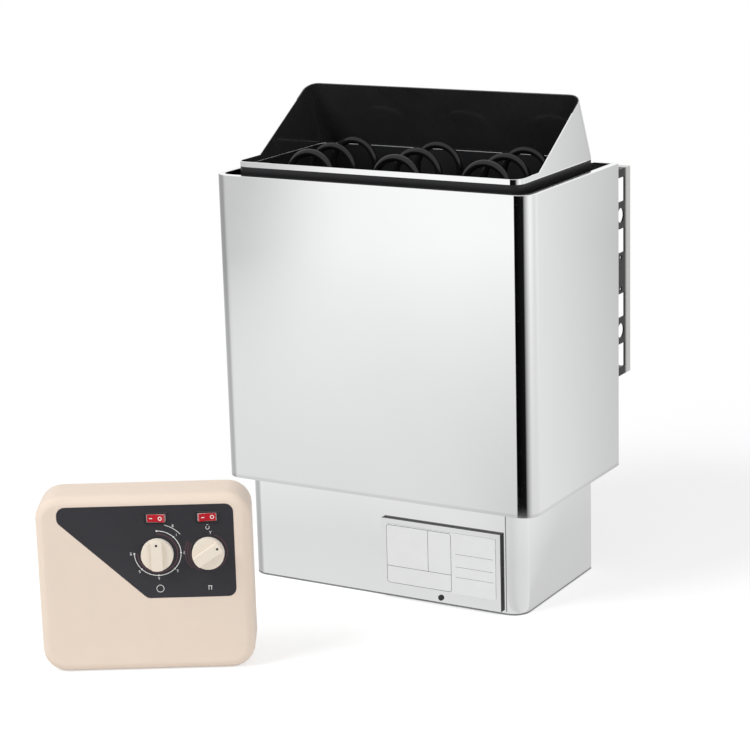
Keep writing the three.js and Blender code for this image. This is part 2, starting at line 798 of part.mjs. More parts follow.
function makeRearSpacer(z) {
  const front = compartmentRear + SEAT_GAP;
  const rear = panelFront - SEAT_GAP;
  const half = REAR_SPACER_LENGTH / 2;
  return join(
    block(-half, half, front, front + SPACER_SHEET, z - SPACER_FLANGE, z + SPACER_SHEET),
    block(-half, half, front, rear, z, z + SPACER_SHEET),
    block(-half, half, rear - SPACER_SHEET, rear, z, z + SPACER_FLANGE),
  );
}

addPiece(heater, 'side_spacer_left', makeSideSpacer(-1), 'galvanised');
addPiece(heater, 'side_spacer_right', makeSideSpacer(1), 'galvanised');
addPiece(heater, 'rear_spacer_upper', makeRearSpacer(casingTop - SPACER_TOP_DROP), 'galvanised');
addPiece(heater, 'rear_spacer_lower', makeRearSpacer(plateTop + SPACER_LOW_RISE), 'galvanised');

// Base box, its bottom plate and the terminal cover on its front
function baseOutline(inset) {
  return roundedOutline(
    -baseHalf + inset,
    baseHalf - inset,
    baseFront + inset,
    baseRear - inset,
    Math.max(BASE_FRONT_BEND - inset, 0),
    Math.max(BASE_REAR_BEND - inset, 0),
  );
}

function makeBaseBox() {
  const wall = sheetRing(baseOutline, BASE_SHEET, baseFloor, baseTop);
  const front = baseFront - OVERCUT;
  const inside = baseFront + BASE_SHEET + OVERCUT;
  const access = block(
    COVER_LEFT + ACCESS_MARGIN, coverRight - ACCESS_MARGIN, front, inside,
    COVER_BOTTOM + ACCESS_MARGIN, coverTop - ACCESS_MARGIN,
  );
  const hole = reachRod(screwHole, coverMiddle, screwZ, front, inside, SMALL_SIDES);
  const glandHole = reachRod(
    GLAND_THREAD / 2 + SEAT_GAP, glandX, GLAND_Z, baseRear - BASE_SHEET - OVERCUT, baseRear + OVERCUT,
  );
  return cut(wall, access, hole, glandHole);
}

function makeBottomPlate() {
  const lipOutline = (inset) => baseOutline(BASE_SHEET + SEAT_GAP + inset);
  const lip = sheetRing(lipOutline, BOTTOM_SHEET, 0, BOTTOM_SHEET + BOTTOM_LIP);
  const hole = reachRod(screwHole, coverMiddle, screwZ, baseFront, baseFront + SCREW_LENGTH, SMALL_SIDES);
  return cut(join(raise(baseOutline(0), 0, BOTTOM_SHEET), lip), hole);
}

function makeTerminalCover() {
  const pan = block(COVER_LEFT, coverRight, coverFront, baseFront - SEAT_GAP, COVER_BOTTOM, coverTop);
  const hollow = block(
    COVER_LEFT + COVER_SHEET, coverRight - COVER_SHEET, coverFront + COVER_SHEET, baseFront,
    COVER_BOTTOM + COVER_SHEET, coverTop - COVER_SHEET,
  );
  const hole = reachRod(screwHole, coverMiddle, screwZ, coverFront - OVERCUT, baseFront, SMALL_SIDES);
  return cut(pan, hollow, hole);
}

function makeCoverScrew() {
  const headRear = coverFront - SEAT_GAP;
  const headMiddle = headRear - SCREW_HEAD_HEIGHT / 2;
  const headFront = headRear - SCREW_HEAD_HEIGHT;
  const tip = headRear + SCREW_LENGTH;
  return reachTurned([
    [0, headFront],
    [(SCREW_HEAD - SCREW_HEAD_HEIGHT) / 2, headFront],
    [SCREW_HEAD / 2, headMiddle],
    [SCREW_HEAD / 2, headRear],
    [SCREW_DIAMETER / 2, headRear],
    [SCREW_DIAMETER / 2, tip],
    [0, tip],
  ], coverMiddle, screwZ, SMALL_SIDES);
}

function makeRatingPlate() {
  const rear = coverFront - SEAT_GAP;
  return block(
    COVER_LEFT + PLATE_MARGIN, coverRight - PLATE_MARGIN, rear - PLATE_SHEET, rear,
    COVER_BOTTOM + PLATE_RISE, coverTop - PLATE_MARGIN,
  );
}

addPiece(heater, 'base_box', makeBaseBox(), 'polishedSteel');
addPiece(heater, 'bottom_plate', makeBottomPlate(), 'galvanised');
addPiece(heater, 'terminal_cover', makeTerminalCover(), 'polishedSteel');
addPiece(heater, 'cover_screw', makeCoverScrew(), 'plainSteel');
addPiece(heater, 'rating_plate', makeRatingPlate(), 'label');

// Wiring inside the base: a terminal block, a wire to each element and one to the bar that links them
function poleX(pole) {
  return coverMiddle + (pole - (POLE_COUNT - 1) / 2) * POLE_PITCH;
}

function makeTerminalBlock() {
  const left = coverMiddle - blockHalf;
  const right = coverMiddle + blockHalf;
  const body = block(left, right, blockFront, blockRear, baseFloor, blockTop);
  const halfSlot = (POLE_PITCH - POLE_BARRIER) / 2;
  const slots = [];
  for (let pole = 0; pole < POLE_COUNT; pole += 1) {
    const x = poleX(pole);
    slots.push(block(
      x - halfSlot, x + halfSlot, blockFront - OVERCUT, blockFront + BLOCK_STEP,
      blockTop - BLOCK_STEP, blockTop + OVERCUT,
    ));
  }
  return cut(body, ...slots);
}

function wireRoute(pole, endX, endY, endZ) {
  return [
    [poleX(pole), wireY, wireZ],
    [poleX(pole), wireY, wireZ + WIRE_STAND],
    [endX, endY, endZ - WIRE_STAND],
    [endX, endY, endZ],
  ];
}

function makePhaseWire(pole, x) {
  const [endX, endY] = elementEnds(x).front;
  return wire(wireRoute(pole, endX, endY, pinBottom - SEAT_GAP));
}

function makeNeutralBar() {
  const ends = Object.values(elementColumns).map((x) => elementEnds(x).rear);
  const left = ends[0][0] - BAR_MARGIN;
  const right = ends.at(-1)[0] + BAR_MARGIN;
  const barTop = barLow + BAR_SHEET;
  const bar = block(left, right, loopFar - BAR_WIDTH / 2, loopFar + BAR_WIDTH / 2, barLow, barTop);
  const holes = ends.map(([x, y]) => rod(pinRadius + SEAT_GAP, x, y, barLow - OVERCUT, barTop + OVERCUT));
  return cut(bar, ...holes);
}

function makeNeutralWire() {
  const endX = elementEnds(elementColumns.centre).rear[0] + elementPitch / 2;
  return wire(wireRoute(POLE_COUNT - 1, endX, loopFar, barLow - SEAT_GAP));
}

function makeEarthStud() {
  const nutTop = baseFloor + STUD_NUT_HEIGHT;
  const top = baseFloor + STUD_HEIGHT;
  return turned([
    [0, baseFloor],
    [STUD_NUT / 2, baseFloor],
    [STUD_NUT / 2, nutTop],
    [STUD_DIAMETER / 2, nutTop],
    [STUD_DIAMETER / 2, top],
    [0, top],
  ], -baseHalf + STUD_SIDE_INSET, baseRear - STUD_REAR_INSET, SMALL_SIDES);
}

// Cable gland: the inlet for the supply, clamped in the rear of the base
function makeCableGland() {
  const outside = baseRear + SEAT_GAP;
  const inside = baseRear - BASE_SHEET - SEAT_GAP;
  const bore = GLAND_BORE / 2;
  const thread = GLAND_THREAD / 2;
  const flange = GLAND_FLANGE / 2;
  return reachTurned([
    [bore, inside - GLAND_NUT_DEPTH],
    [flange, inside - GLAND_NUT_DEPTH],
    [flange, inside],
    [thread, inside],
    [thread, outside],
    [flange, outside],
    [flange, outside + GLAND_FLANGE_DEPTH],
    [thread, outside + GLAND_FLANGE_DEPTH],
    [thread, outside + GLAND_CAP_DEPTH],
    [bore, outside + GLAND_CAP_DEPTH],
    [bore, inside - GLAND_NUT_DEPTH],
  ], glandX, GLAND_Z);
}

addPiece(heater, 'terminal_block', makeTerminalBlock(), 'ceramic');
Object.entries(elementColumns).forEach(([column, x], pole) => {
  addPiece(heater, `phase_wire_${column}`, makePhaseWire(pole, x), 'brownWire');
});
addPiece(heater, 'neutral_bar', makeNeutralBar(), 'brass');
addPiece(heater, 'neutral_wire', makeNeutralWire(), 'blueWire');
addPiece(heater, 'earth_stud', makeEarthStud(), 'brass');
addPiece(heater, 'cable_gland', makeCableGland(), 'blackPlastic');

// Wall bracket: a cut-out frame on the wall, a punched flange at each side and a slotted shelf along the top
function makeBracketFlange(left) {
  const right = left + BRACKET_SHEET;
  const punchY = wallY - PUNCH_WALL_DISTANCE;
  const ends = [[bracketBottom, 1], [bracketTop, -1]];
  const punches = ends.flatMap(([end, inwards]) => [
    ...[PUNCH_OUTER_INSET, PUNCH_INNER_INSET].map((inset) => block(
      left - OVERCUT, right + OVERCUT, punchY - PUNCH_DEPTH / 2, punchY + PUNCH_DEPTH / 2,
      end + inwards * inset - PUNCH_HEIGHT / 2, end + inwards * inset + PUNCH_HEIGHT / 2,
    )),
    acrossRod(ROUND_DIAMETER / 2, punchY, end + inwards * ROUND_INSET, left - OVERCUT, right + OVERCUT),
    acrossRod(
      PILOT_DIAMETER / 2, punchY, end + inwards * PILOT_INSET, left - OVERCUT, right + OVERCUT, SMALL_SIDES,
    ),
  ]);
  return cut(block(left, right, bracketFront, wallY, bracketBottom, bracketTop), ...punches);
}

function makeBracketFrame() {
  const plate = block(-bracketHalf, bracketHalf, wallY - BRACKET_SHEET, wallY, bracketBottom, bracketTop);
  const front = wallY - BRACKET_SHEET - OVERCUT;
  const rear = wallY + OVERCUT;
  const openHalf = bracketHalf - BRACKET_SIDE;
  const opening = block(
    -openHalf, openHalf, front, rear, bracketBottom + BRACKET_BAR, bracketTop - BRACKET_BAR,
  );
  const notches = [-openHalf, openHalf - BRACKET_NOTCH].map((left) => block(
    left, left + BRACKET_NOTCH, front, rear, bracketBottom + BRACKET_END_BAR, bracketTop - BRACKET_END_BAR,
  ));
  const holeX = bracketHalf - WALL_HOLE_SIDE_INSET;
  const holeRows = [bracketBottom + WALL_HOLE_END_INSET, bracketTop - WALL_HOLE_END_INSET];
  const holes = holeRows.flatMap((z) => [
    reachRod(WALL_HOLE / 2, -holeX, z, front, rear),
    reachRod(WALL_HOLE / 2, holeX, z, front, rear),
  ]);
  return cut(plate, opening, ...notches, ...holes);
}

function makeBracketShelf() {
  const front = Math.max(casingRear, hookFoot + HOOK_SHEET) + SEAT_GAP;
  const shelf = block(-bracketHalf, bracketHalf, front, wallY, bracketTop - BRACKET_SHEET, bracketTop);
  const slotHalf = HOOK_WIDTH / 2 + SEAT_GAP;
  const slots = [-hookX, hookX].map((x) => block(
    x - slotHalf, x + slotHalf, tongueFront - SEAT_GAP, tongueRear + SEAT_GAP,
    bracketTop - BRACKET_SHEET - OVERCUT, bracketTop + OVERCUT,
  ));
  return cut(shelf, ...slots);
}

function makeWallBracket() {
  return join(
    makeBracketFrame(),
    makeBracketFlange(-bracketHalf),
    makeBracketFlange(bracketHalf - BRACKET_SHEET),
    makeBracketShelf(),
  );
}

function makeHangerHook(x) {
  const seat = bracketTop + SEAT_GAP;
  const top = seat + HOOK_SHEET;
  const profile = new THREE.Shape();
  profile.moveTo(hookFoot, top - HOOK_FOOT);
  profile.lineTo(hookFoot + HOOK_SHEET, top - HOOK_FOOT);
  profile.lineTo(hookFoot + HOOK_SHEET, seat);
  profile.lineTo(tongueFront, seat);
  profile.lineTo(tongueFront, seat - HOOK_DROP);
  profile.lineTo(tongueRear, seat - HOOK_DROP);
  profile.lineTo(tongueRear, top);
  profile.lineTo(hookFoot, top);
  return across(profile, x - HOOK_WIDTH / 2, x + HOOK_WIDTH / 2);
}

addPiece(heater, 'wall_bracket', makeWallBracket(), 'galvanised');
addPiece(heater, 'hanger_hook_left', makeHangerHook(-hookX), 'galvanised');
addPiece(heater, 'hanger_hook_right', makeHangerHook(hookX), 'galvanised');

// Control unit shell: a soft-edged cover on a shallow back, with the fascia let into its front
function controlOutline(inset) {
  const corner = Math.max(CONTROL_CORNER - inset, 0);
  return roundedOutline(
    -controlHalf + inset, controlHalf - inset, inset, CONTROL_HEIGHT - inset, corner, corner,
  );
}

function softBody(inset, front, rear) {
  const edge = CONTROL_EDGE - inset;
  const geometry = new THREE.ExtrudeGeometry(controlOutline(inset), {
    depth: rear - front,
    bevelThickness: edge,
    bevelSize: edge,
    bevelOffset: -edge,
    bevelSegments: EDGE_STEPS,
    curveSegments: BEND_STEPS,
  });
  geometry.rotateX(Math.PI / 2);
  geometry.translate(0, rear + edge, 0);
  const behind = block(
    -CONTROL_WIDTH, CONTROL_WIDTH, rear, rear + 2 * edge + OVERCUT, -CONTROL_HEIGHT, 2 * CONTROL_HEIGHT,
  );
  return cut(solidFrom(geometry), behind);
}

function fasciaOutline(grow) {
  const corners = [
    [fasciaLeft, fasciaTop],
    [fasciaLeft, fasciaTop - FASCIA_TIP_DROP],
    [fasciaRight - FASCIA_FOOT_WIDTH, fasciaBottom],
    [fasciaRight, fasciaBottom],
    [fasciaRight, fasciaTop],
  ];
  return roundedPolygon(corners.map((corner) => new THREE.Vector2(...corner)), FASCIA_ROUND, grow);
}

// Holes through the fascia and the cover for the dial necks and the switches
function panelHoles(front, rear) {
  const half = switchHalf + SEAT_GAP;
  const top = switchTop + SEAT_GAP;
  return [timerX, thermostatX].flatMap((x) => [
    reachRod(neckRadius + SEAT_GAP, x, dialZ, front, rear),
    block(x - half, x + half, front, rear, rockerZ - top, rockerZ + top),
  ]);
}

function makeControlCover() {
  const shell = cut(
    softBody(0, 0, shellRear),
    softBody(CONTROL_WALL, CONTROL_WALL, shellRear + OVERCUT),
    reach(fasciaOutline(SEAT_GAP), -OVERCUT, fasciaRecess),
    ...panelHoles(-OVERCUT, CONTROL_WALL + OVERCUT),
  );
  const screwTip = CONTROL_DEPTH - BOSS_SCREW_LENGTH - OVERCUT;
  const bosses = [-bossX, bossX].map((x) => cut(
    reachRod(BOSS_DIAMETER / 2, x, BOSS_Z, CONTROL_WALL / 2, shellRear, SMALL_SIDES),
    reachRod(BOSS_SCREW / 2 + SEAT_GAP, x, BOSS_Z, screwTip, CONTROL_DEPTH, SMALL_SIDES),
  ));
  return join(shell, ...bosses);
}

function makeControlFascia() {
  return cut(reach(fasciaOutline(0), 0, FASCIA_SHEET), ...panelHoles(-OVERCUT, fasciaRecess));
}

function makeControlBack() {
  const tray = cut(
    reach(controlOutline(0), backFront, CONTROL_DEPTH),
    reach(controlOutline(CONTROL_WALL), backFront - OVERCUT, backFloor),
  );
  const pillars = [-bossX, bossX].map((x) => (
    reachRod(BOSS_DIAMETER / 2, x, BOSS_Z, backFront, CONTROL_DEPTH - CONTROL_WALL / 2, SMALL_SIDES)
  ));
  const headSeat = CONTROL_DEPTH - BOSS_SCREW_HEAD_HEIGHT - 2 * SEAT_GAP;
  const front = backFloor - OVERCUT;
  const rear = CONTROL_DEPTH + OVERCUT;
  const screwHoles = [-bossX, bossX].flatMap((x) => [
    reachRod(BOSS_SCREW / 2 + SEAT_GAP, x, BOSS_Z, 0, rear, SMALL_SIDES),
    reachRod(BOSS_SCREW_HEAD / 2 + SEAT_GAP, x, BOSS_Z, headSeat, rear, SMALL_SIDES),
  ]);
  const hangX = controlHalf - HANG_HOLE_SIDE_INSET;
  const hangZ = CONTROL_HEIGHT - HANG_HOLE_DROP;
  const hangHoles = [-hangX, hangX].map((x) => (
    reachRod(HANG_HOLE / 2, x, hangZ, front, rear, SMALL_SIDES)
  ));
  const grommetHole = reachRod(
    GROMMET_BORE / 2 + GROMMET_WALL + SEAT_GAP, grommetX, GROMMET_Z, front, rear,
  );
  return cut(join(tray, ...pillars), ...screwHoles, ...hangHoles, grommetHole);
}

function makeControlScrew(x) {
  const headRear = CONTROL_DEPTH - SEAT_GAP;
  const headFront = headRear - BOSS_SCREW_HEAD_HEIGHT;
  const tip = CONTROL_DEPTH - BOSS_SCREW_LENGTH;
  return reachTurned([
    [0, tip],
    [BOSS_SCREW / 2, tip],
    [BOSS_SCREW / 2, headFront],
    [BOSS_SCREW_HEAD / 2, headFront],
    [BOSS_SCREW_HEAD / 2, headRear],
    [0, headRear],
  ], x, BOSS_Z, SMALL_SIDES);
}

function makeControlGrommet() {
  const bore = GROMMET_BORE / 2;
  const body = bore + GROMMET_WALL;
  const lip = body + GROMMET_LIP;
  const lipFront = fittingRear - GROMMET_LIP;
  const rear = CONTROL_DEPTH - SEAT_GAP;
  return reachTurned([
    [bore, lipFront],
    [lip, lipFront],
    [lip, fittingRear],
    [body, fittingRear],
    [body, rear],
    [bore, rear],
    [bore, lipFront],
  ], grommetX, GROMMET_Z);
}

addPiece(control, 'control_cover', makeControlCover(), 'beigePlastic');
addPiece(control, 'control_fascia', makeControlFascia(), 'darkPlastic');
addPiece(control, 'control_back', makeControlBack(), 'beigePlastic');
addPiece(control, 'control_cover_screw_left', makeControlScrew(-bossX), 'plainSteel');
addPiece(control, 'control_cover_screw_right', makeControlScrew(bossX), 'plainSteel');
addPiece(control, 'control_grommet', makeControlGrommet(), 'blackPlastic');

// Dials: a knob on a shaft that turns in the neck of a timer or a thermostat, each about its own axis
function makeKnob() {
  const disk = reachRod(KNOB_DIAMETER / 2, 0, 0, discFront, knobRear);
  const grip = block(
    -KNOB_GRIP_WIDTH / 2, KNOB_GRIP_WIDTH / 2, knobFront, knobRear, -KNOB_DIAMETER / 2, KNOB_DIAMETER / 2,
  ).intersect(reachRod(KNOB_DIAMETER / 2 - KNOB_GRIP_MARGIN, 0, 0, knobFront, knobRear));
  const bore = reachRod(shaftRadius + SEAT_GAP, 0, 0, knobRear - KNOB_BORE_DEPTH, knobRear + OVERCUT);
  const dot = reachRod(
    DOT_DIAMETER / 2, 0, DOT_RADIUS, knobFront - OVERCUT, knobFront + DOT_DEPTH, SMALL_SIDES,
  );
  return cut(join(disk, grip), bore, dot);
}

function makeShaft() {
  return reachRod(shaftRadius, 0, 0, knobRear - KNOB_BORE_DEPTH + SEAT_GAP, SHAFT_SEAT, SMALL_SIDES);
}

function makeDialBody(size, depth) {
  const box = block(-size / 2, size / 2, bodyFront, bodyFront + depth, -size / 2, size / 2);
  const neck = reachRod(neckRadius, 0, 0, 0, bodyFront + OVERCUT);
  const bore = reachRod(neckBore, 0, 0, -OVERCUT, SHAFT_SEAT + RUNNING_GAP);
  return cut(join(box, neck), bore);
}

const dials = [
  { name: 'timer', x: timerX, rest: 0, size: TIMER_SIZE, depth: TIMER_DEPTH },
  {
    name: 'thermostat', x: thermostatX, rest: THERMOSTAT_REST, size: THERMOSTAT_SIZE, depth: THERMOSTAT_DEPTH,
  },
];
for (const { name, x, rest, size, depth } of dials) {
  const body = addPiece(control, `control_${name}_body`, makeDialBody(size, depth), 'whitePlastic');
  const shaft = addPiece(control, `control_${name}_shaft`, makeShaft(), 'plainSteel');
  const knob = addPiece(control, `control_${name}_knob`, makeKnob(), 'creamPlastic');
  for (const mesh of [body, shaft, knob]) mesh.position.set(x, 0, dialZ);
  for (const mesh of [shaft, knob]) mesh.rotation.y = radians(rest);
}

// Rocker switches: a shallow V that tilts on two upright pins inside its switch
function makeRocker() {
  const rise = Math.tan(radians(ROCKER_TILT));
  const steep = 1 + rise * rise;
  const inside = rockerHalf * rockerHalf - ROCKER_VALLEY * ROCKER_VALLEY;
  const half = (Math.sqrt((ROCKER_VALLEY * rise) ** 2 + steep * inside) - ROCKER_VALLEY * rise) / steep;
  const frontAngle = Math.atan2(ROCKER_VALLEY + half * rise, half);
  const backAngle = Math.asin(ROCKER_BACK / rockerHalf);
  const profile = new THREE.Shape();
  profile.moveTo(0, -ROCKER_VALLEY);
  profile.lineTo(half, -ROCKER_VALLEY - half * rise);
  profile.absarc(0, 0, rockerHalf, -frontAngle, backAngle, false);
  profile.absarc(0, 0, rockerHalf, Math.PI - backAngle, Math.PI + frontAngle, false);
  const pinTop = cavityTop + ROCKER_PIN_LENGTH;
  return join(raise(profile, -rockerTop, rockerTop), rod(ROCKER_PIN / 2, 0, 0, -pinTop, pinTop, SMALL_SIDES));
}

function makeSwitch() {
  const backHalf = Math.sqrt(rockerHalf * rockerHalf - ROCKER_BACK * ROCKER_BACK);
  const tilt = radians(ROCKER_TILT);
  const sweep = ROCKER_BACK * Math.cos(tilt) + backHalf * Math.sin(tilt);
  const bezelHalf = switchHalf + SWITCH_FLANGE;
  const bezelTop = switchTop + SWITCH_FLANGE;
  return cut(
    join(
      block(-bezelHalf, bezelHalf, bezelFront, bezelRear, -bezelTop, bezelTop),
      block(-switchHalf, switchHalf, bezelFront, SWITCH_DEPTH, -switchTop, switchTop),
    ),
    block(-cavityHalf, cavityHalf, bezelFront - OVERCUT, pivotY + sweep + RUNNING_GAP, -cavityTop, cavityTop),
    rod(ROCKER_PIN / 2 + SEAT_GAP, 0, pivotY, -switchTop - OVERCUT, switchTop + OVERCUT, SMALL_SIDES),
  );
}

const rockers = [
  { name: 'heater', x: timerX, rest: -ROCKER_TILT },
  { name: 'light', x: thermostatX, rest: ROCKER_TILT },
];
for (const { name, x, rest } of rockers) {
  const housing = addPiece(control, `control_${name}_switch`, makeSwitch(), 'blackPlastic');
  const rocker = addPiece(control, `control_${name}_rocker`, makeRocker(), 'redPlastic');
  housing.position.set(x, 0, rockerZ);
  rocker.position.set(x, pivotY, rockerZ);
  rocker.rotation.z = radians(rest);
}

// Contactor and terminal strip on the control unit's back
function makeContactor() {
  const half = CONTACTOR_WIDTH / 2;
  const top = CONTACTOR_HEIGHT / 2;
  const front = fittingRear - CONTACTOR_DEPTH;
  return block(
    contactorX - half, contactorX + half, front, fittingRear, CONTACTOR_Z - top, CONTACTOR_Z + top,
  );
}

function makeTerminalStrip() {
  const half = (STRIP_POLES * STRIP_PITCH + STRIP_BARRIER) / 2;
  const front = fittingRear - STRIP_DEPTH;
  const low = STRIP_Z - STRIP_HEIGHT / 2;
  const high = STRIP_Z + STRIP_HEIGHT / 2;
  const halfSlot = (STRIP_PITCH - STRIP_BARRIER) / 2;
  const slots = [];
  for (let pole = 0; pole < STRIP_POLES; pole += 1) {
    const x = stripX + (pole - (STRIP_POLES - 1) / 2) * STRIP_PITCH;
    slots.push(block(
      x - halfSlot, x + halfSlot, front - OVERCUT, front + STRIP_STEP, low - OVERCUT, low + STRIP_STEP,
    ));
  }
  return cut(block(stripX - half, stripX + half, front, fittingRear, low, high), ...slots);
}

addPiece(control, 'control_contactor', makeContactor(), 'whitePlastic');
addPiece(control, 'control_terminal_strip', makeTerminalStrip(), 'whitePlastic');

const stove = new THREE.Group();
stove.add(heater, control);

export default stove;
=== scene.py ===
import json
import math

import bmesh
import bpy
from mathutils import Matrix, Vector

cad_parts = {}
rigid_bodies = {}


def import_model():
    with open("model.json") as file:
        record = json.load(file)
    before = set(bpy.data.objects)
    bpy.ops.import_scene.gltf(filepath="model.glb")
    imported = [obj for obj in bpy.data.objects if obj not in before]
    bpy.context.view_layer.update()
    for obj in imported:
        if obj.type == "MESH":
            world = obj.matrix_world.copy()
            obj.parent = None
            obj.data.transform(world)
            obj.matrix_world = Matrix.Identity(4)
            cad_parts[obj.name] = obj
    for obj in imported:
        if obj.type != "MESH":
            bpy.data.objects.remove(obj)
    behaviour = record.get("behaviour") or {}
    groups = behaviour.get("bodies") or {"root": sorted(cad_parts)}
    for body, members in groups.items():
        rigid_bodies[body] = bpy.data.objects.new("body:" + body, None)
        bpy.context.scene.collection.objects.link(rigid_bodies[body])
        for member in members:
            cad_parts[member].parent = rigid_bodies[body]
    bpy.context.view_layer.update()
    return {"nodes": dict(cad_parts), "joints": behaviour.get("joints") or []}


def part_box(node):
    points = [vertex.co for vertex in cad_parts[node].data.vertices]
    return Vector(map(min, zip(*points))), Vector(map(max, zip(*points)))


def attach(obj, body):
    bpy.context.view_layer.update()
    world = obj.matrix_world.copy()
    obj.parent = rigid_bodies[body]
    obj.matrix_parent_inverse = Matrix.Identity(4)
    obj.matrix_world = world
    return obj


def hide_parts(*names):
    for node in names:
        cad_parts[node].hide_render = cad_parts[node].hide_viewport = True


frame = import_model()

nodes = frame["nodes"]
ROOT = "stove_and_unit"
CONTROL_PREFIX = "control_"
MM = 0.001

# Camera of the photograph: metres and degrees, with the lens and sensor in millimetres
CAMERA_PLACE = (1.2932, -2.3320, 0.9303)
CAMERA_AZIMUTH = 30.17
CAMERA_ELEVATION = 14.44
CAMERA_ROLL = -1.62
CAMERA_LENS = 111.2035
CAMERA_SENSOR = 36
CAMERA_CLIP_END = 200

# Stove, in millimetres
CASING_BEND = 20
BASE_BEND = 20
HEM_SHADE_LOW = 3
HEM_SHADE_HIGH = 5
GUARD_LOWER_EDGE = 1.5
BRACKET_LIP = 17
BRACKET_LIP_SOFT = 8
SEAM_END = 4
SEAM_WIDTH = 1.2
TUBE_RADIUS = 4.25
TUBE_SIDES = 18
CROWN_STEPS = 28
FOOT_STEPS = 14
GRATE_BAR_HEIGHT = 10

# Rules on the rating plate, in millimetres, and shares of the plate's width or height
PLATE_MARGIN = 1.2
FRAME_CORNER = 3
CORNER_STEPS = 8
RULE_WIDTH = 0.5
FRAME_WIDTH_SHARE = 0.6
DIVIDER_HEIGHT_SHARE = 0.3
DIVIDER_PLACE_SHARE = 0.39
LIST_PLACE_SHARE = 0.81
LIST_LENGTH_SHARE = 0.34
LIST_HEIGHT_SHARES = (0.28, 0.45, 0.66)
LIST_RULE_WIDTH = RULE_WIDTH * 0.7

# Knobs, rockers and printed marks of the control unit, in millimetres and degrees
MARK_THICKNESS = 0.06
KNOB_REACH = 13
DOT_PLACE = 12.4
DOT_RADIUS = 1.3
DOT_SIDES = 20
DOT_RECESS = 0.6
DOT_BELOW_FACE = 0.1
THERMOSTAT_REST = 56
ROCKER_TILT = 8
ROCKER_VALLEY = 3.4
ROCKER_MARK_PLACE = 5
SCALE_RADIUS = 25
SCALE_SWEEP = 270
SCALE_STEP = 45
SCALE_LAST_NUMBER = 6
SCALE_NUMBER_RADIUS = 28.6
OUTER_SCALE_RADIUS = 32.5
OUTER_NUMBER_RADIUS = 35
OUTER_NUMBER_ANGLE = 30
NUMBER_HEIGHT = 2.6
NUMBER_WEIGHT = 0.4
RINGS_END = 300

# Limits on a face's direction, as parts of its normal
INWARD_LIMIT = -0.02
FRONT_LIMIT = -0.5
DOWN_LIMIT = -0.3
BEND_BEGIN = (0.1, 0.35)
BEND_FINISH = (0.85, 0.98)

# Looks of the sheet metal
NOISE_RANGE = (0.3, 0.7)
GLOSS_SPREAD = 0.15
GRAIN_DEPTH = 0.0002
STEEL_DULL = (0.88, 0.884, 0.888)
STEEL_BRIGHT = (0.915, 0.917, 0.917)
STEEL_GLOSS = (0.045, 0.09)
SMEAR_RANGE = (0.3, 0.75)
STAIN_SPREAD = 0.3
WAVE_STRENGTH = 0.012
WAVE_DEPTH = 0.002
# Painted shade on the left bend, as the share of brightness taken off
BEND_PAINTED_SHADE = 0.42
# Painted shade along the casing's hem, as the share of brightness kept
HEM_PAINTED_SHADE = 0.86
# Painted light towards the top of the base, as the share of brightness reached
BASE_PAINTED_LIGHT = 1.09
# Painted shade on the inner faces of the casing and the base
SHADED_SHEET = (0.05, 0.05, 0.052)
SPANGLE_SCALE = 160.0
SPANGLE_DARK = 0.8
SPANGLE_LIGHT = 1.15
ZINC_GLOSS = (0.36, 0.5)
ZINC_METAL = 0.9

# Softened edges of the CAD nodes: width in millimetres and least angle in degrees
EDGES = {
    "outer_casing": (0.45, 40), "base_box": (0.4, 40), "steam_guard": (0.4, 40),
    "terminal_cover": (0.35, 40), "wall_bracket": (0.3, 40), "stone_compartment": (0.3, 40),
    "control_cover": (0.4, 50), "control_back": (0.4, 50), "control_fascia": (0.15, 50),
    "control_timer_knob": (0.7, 40), "control_thermostat_knob": (0.7, 40),
    "control_heater_rocker": (0.35, 40), "control_light_rocker": (0.35, 40),
    "control_heater_switch": (0.25, 40), "control_light_switch": (0.25, 40),
}
OTHER_EDGES = (0.15, 40)
EDGE_SEGMENTS = 2
WELD_DISTANCE = 0.005
FLAT_ANGLE = 0.3
FACE_WEIGHT = 100

# What polished steel mirrors of the floor: brightness by direction from the casing's front right corner, in
# degrees from the front towards the right, close by and far off, and the dark that the corner's bend picks up
NEAR_STOPS = [
    (-180, 0.85), (-68, 0.79), (-57, 0.775), (-41, 0.79), (-34, 0.765), (-26, 0.69), (10, 0.66), (60, 0.74),
    (130, 0.78), (152, 0.82), (156, 0.78), (162, 0.665), (180, 0.64),
]
FAR_STOPS = [
    (-180, 0.9), (-44, 0.98), (-36, 1.0), (-30, 1.05), (86, 1.0), (113, 0.8), (152, 0.93), (160, 0.46),
    (166, 0.45), (174, 0.9), (180, 0.9),
]
SHADE_STOPS = [(-22, 0), (-20, 1), (38, 0.99), (47, 0.63), (65, 0.22), (77, 0.03), (84, 0)]
NEAR_REACH = 0.46
FAR_REACH = 2.2
SHADE_REACH = 0.4

# The darker floor to the left, beyond a slanted line: the line's turn in degrees, and metres from the corner
LEFT_TURN = 30.5
LEFT_START = 0.18
LEFT_END = 0.46
LEFT_SHADE = 0.37
LEFT_FALLOFF = 2.0
STRAIGHT_AHEAD = 0.5

# Floor and light: metres, watts and plain levels
FLOOR_SIZE = 40
FLOOR_MATT = 0.9
FLOOR_CLOSE = 0.56
SHADOW_REACH = 1.0
WORLD_LIGHT = 0.46
WORLD_SEEN = 1.0
LAMP_TARGET = (0, 0, 0.3)
LAMPS = {
    "key": {"place": (-1.6, -2.4, 2.6), "size": 1.8, "power": 80},
    "fill": {"place": (2.6, -1.2, 1.8), "size": 1.6, "power": 30},
}


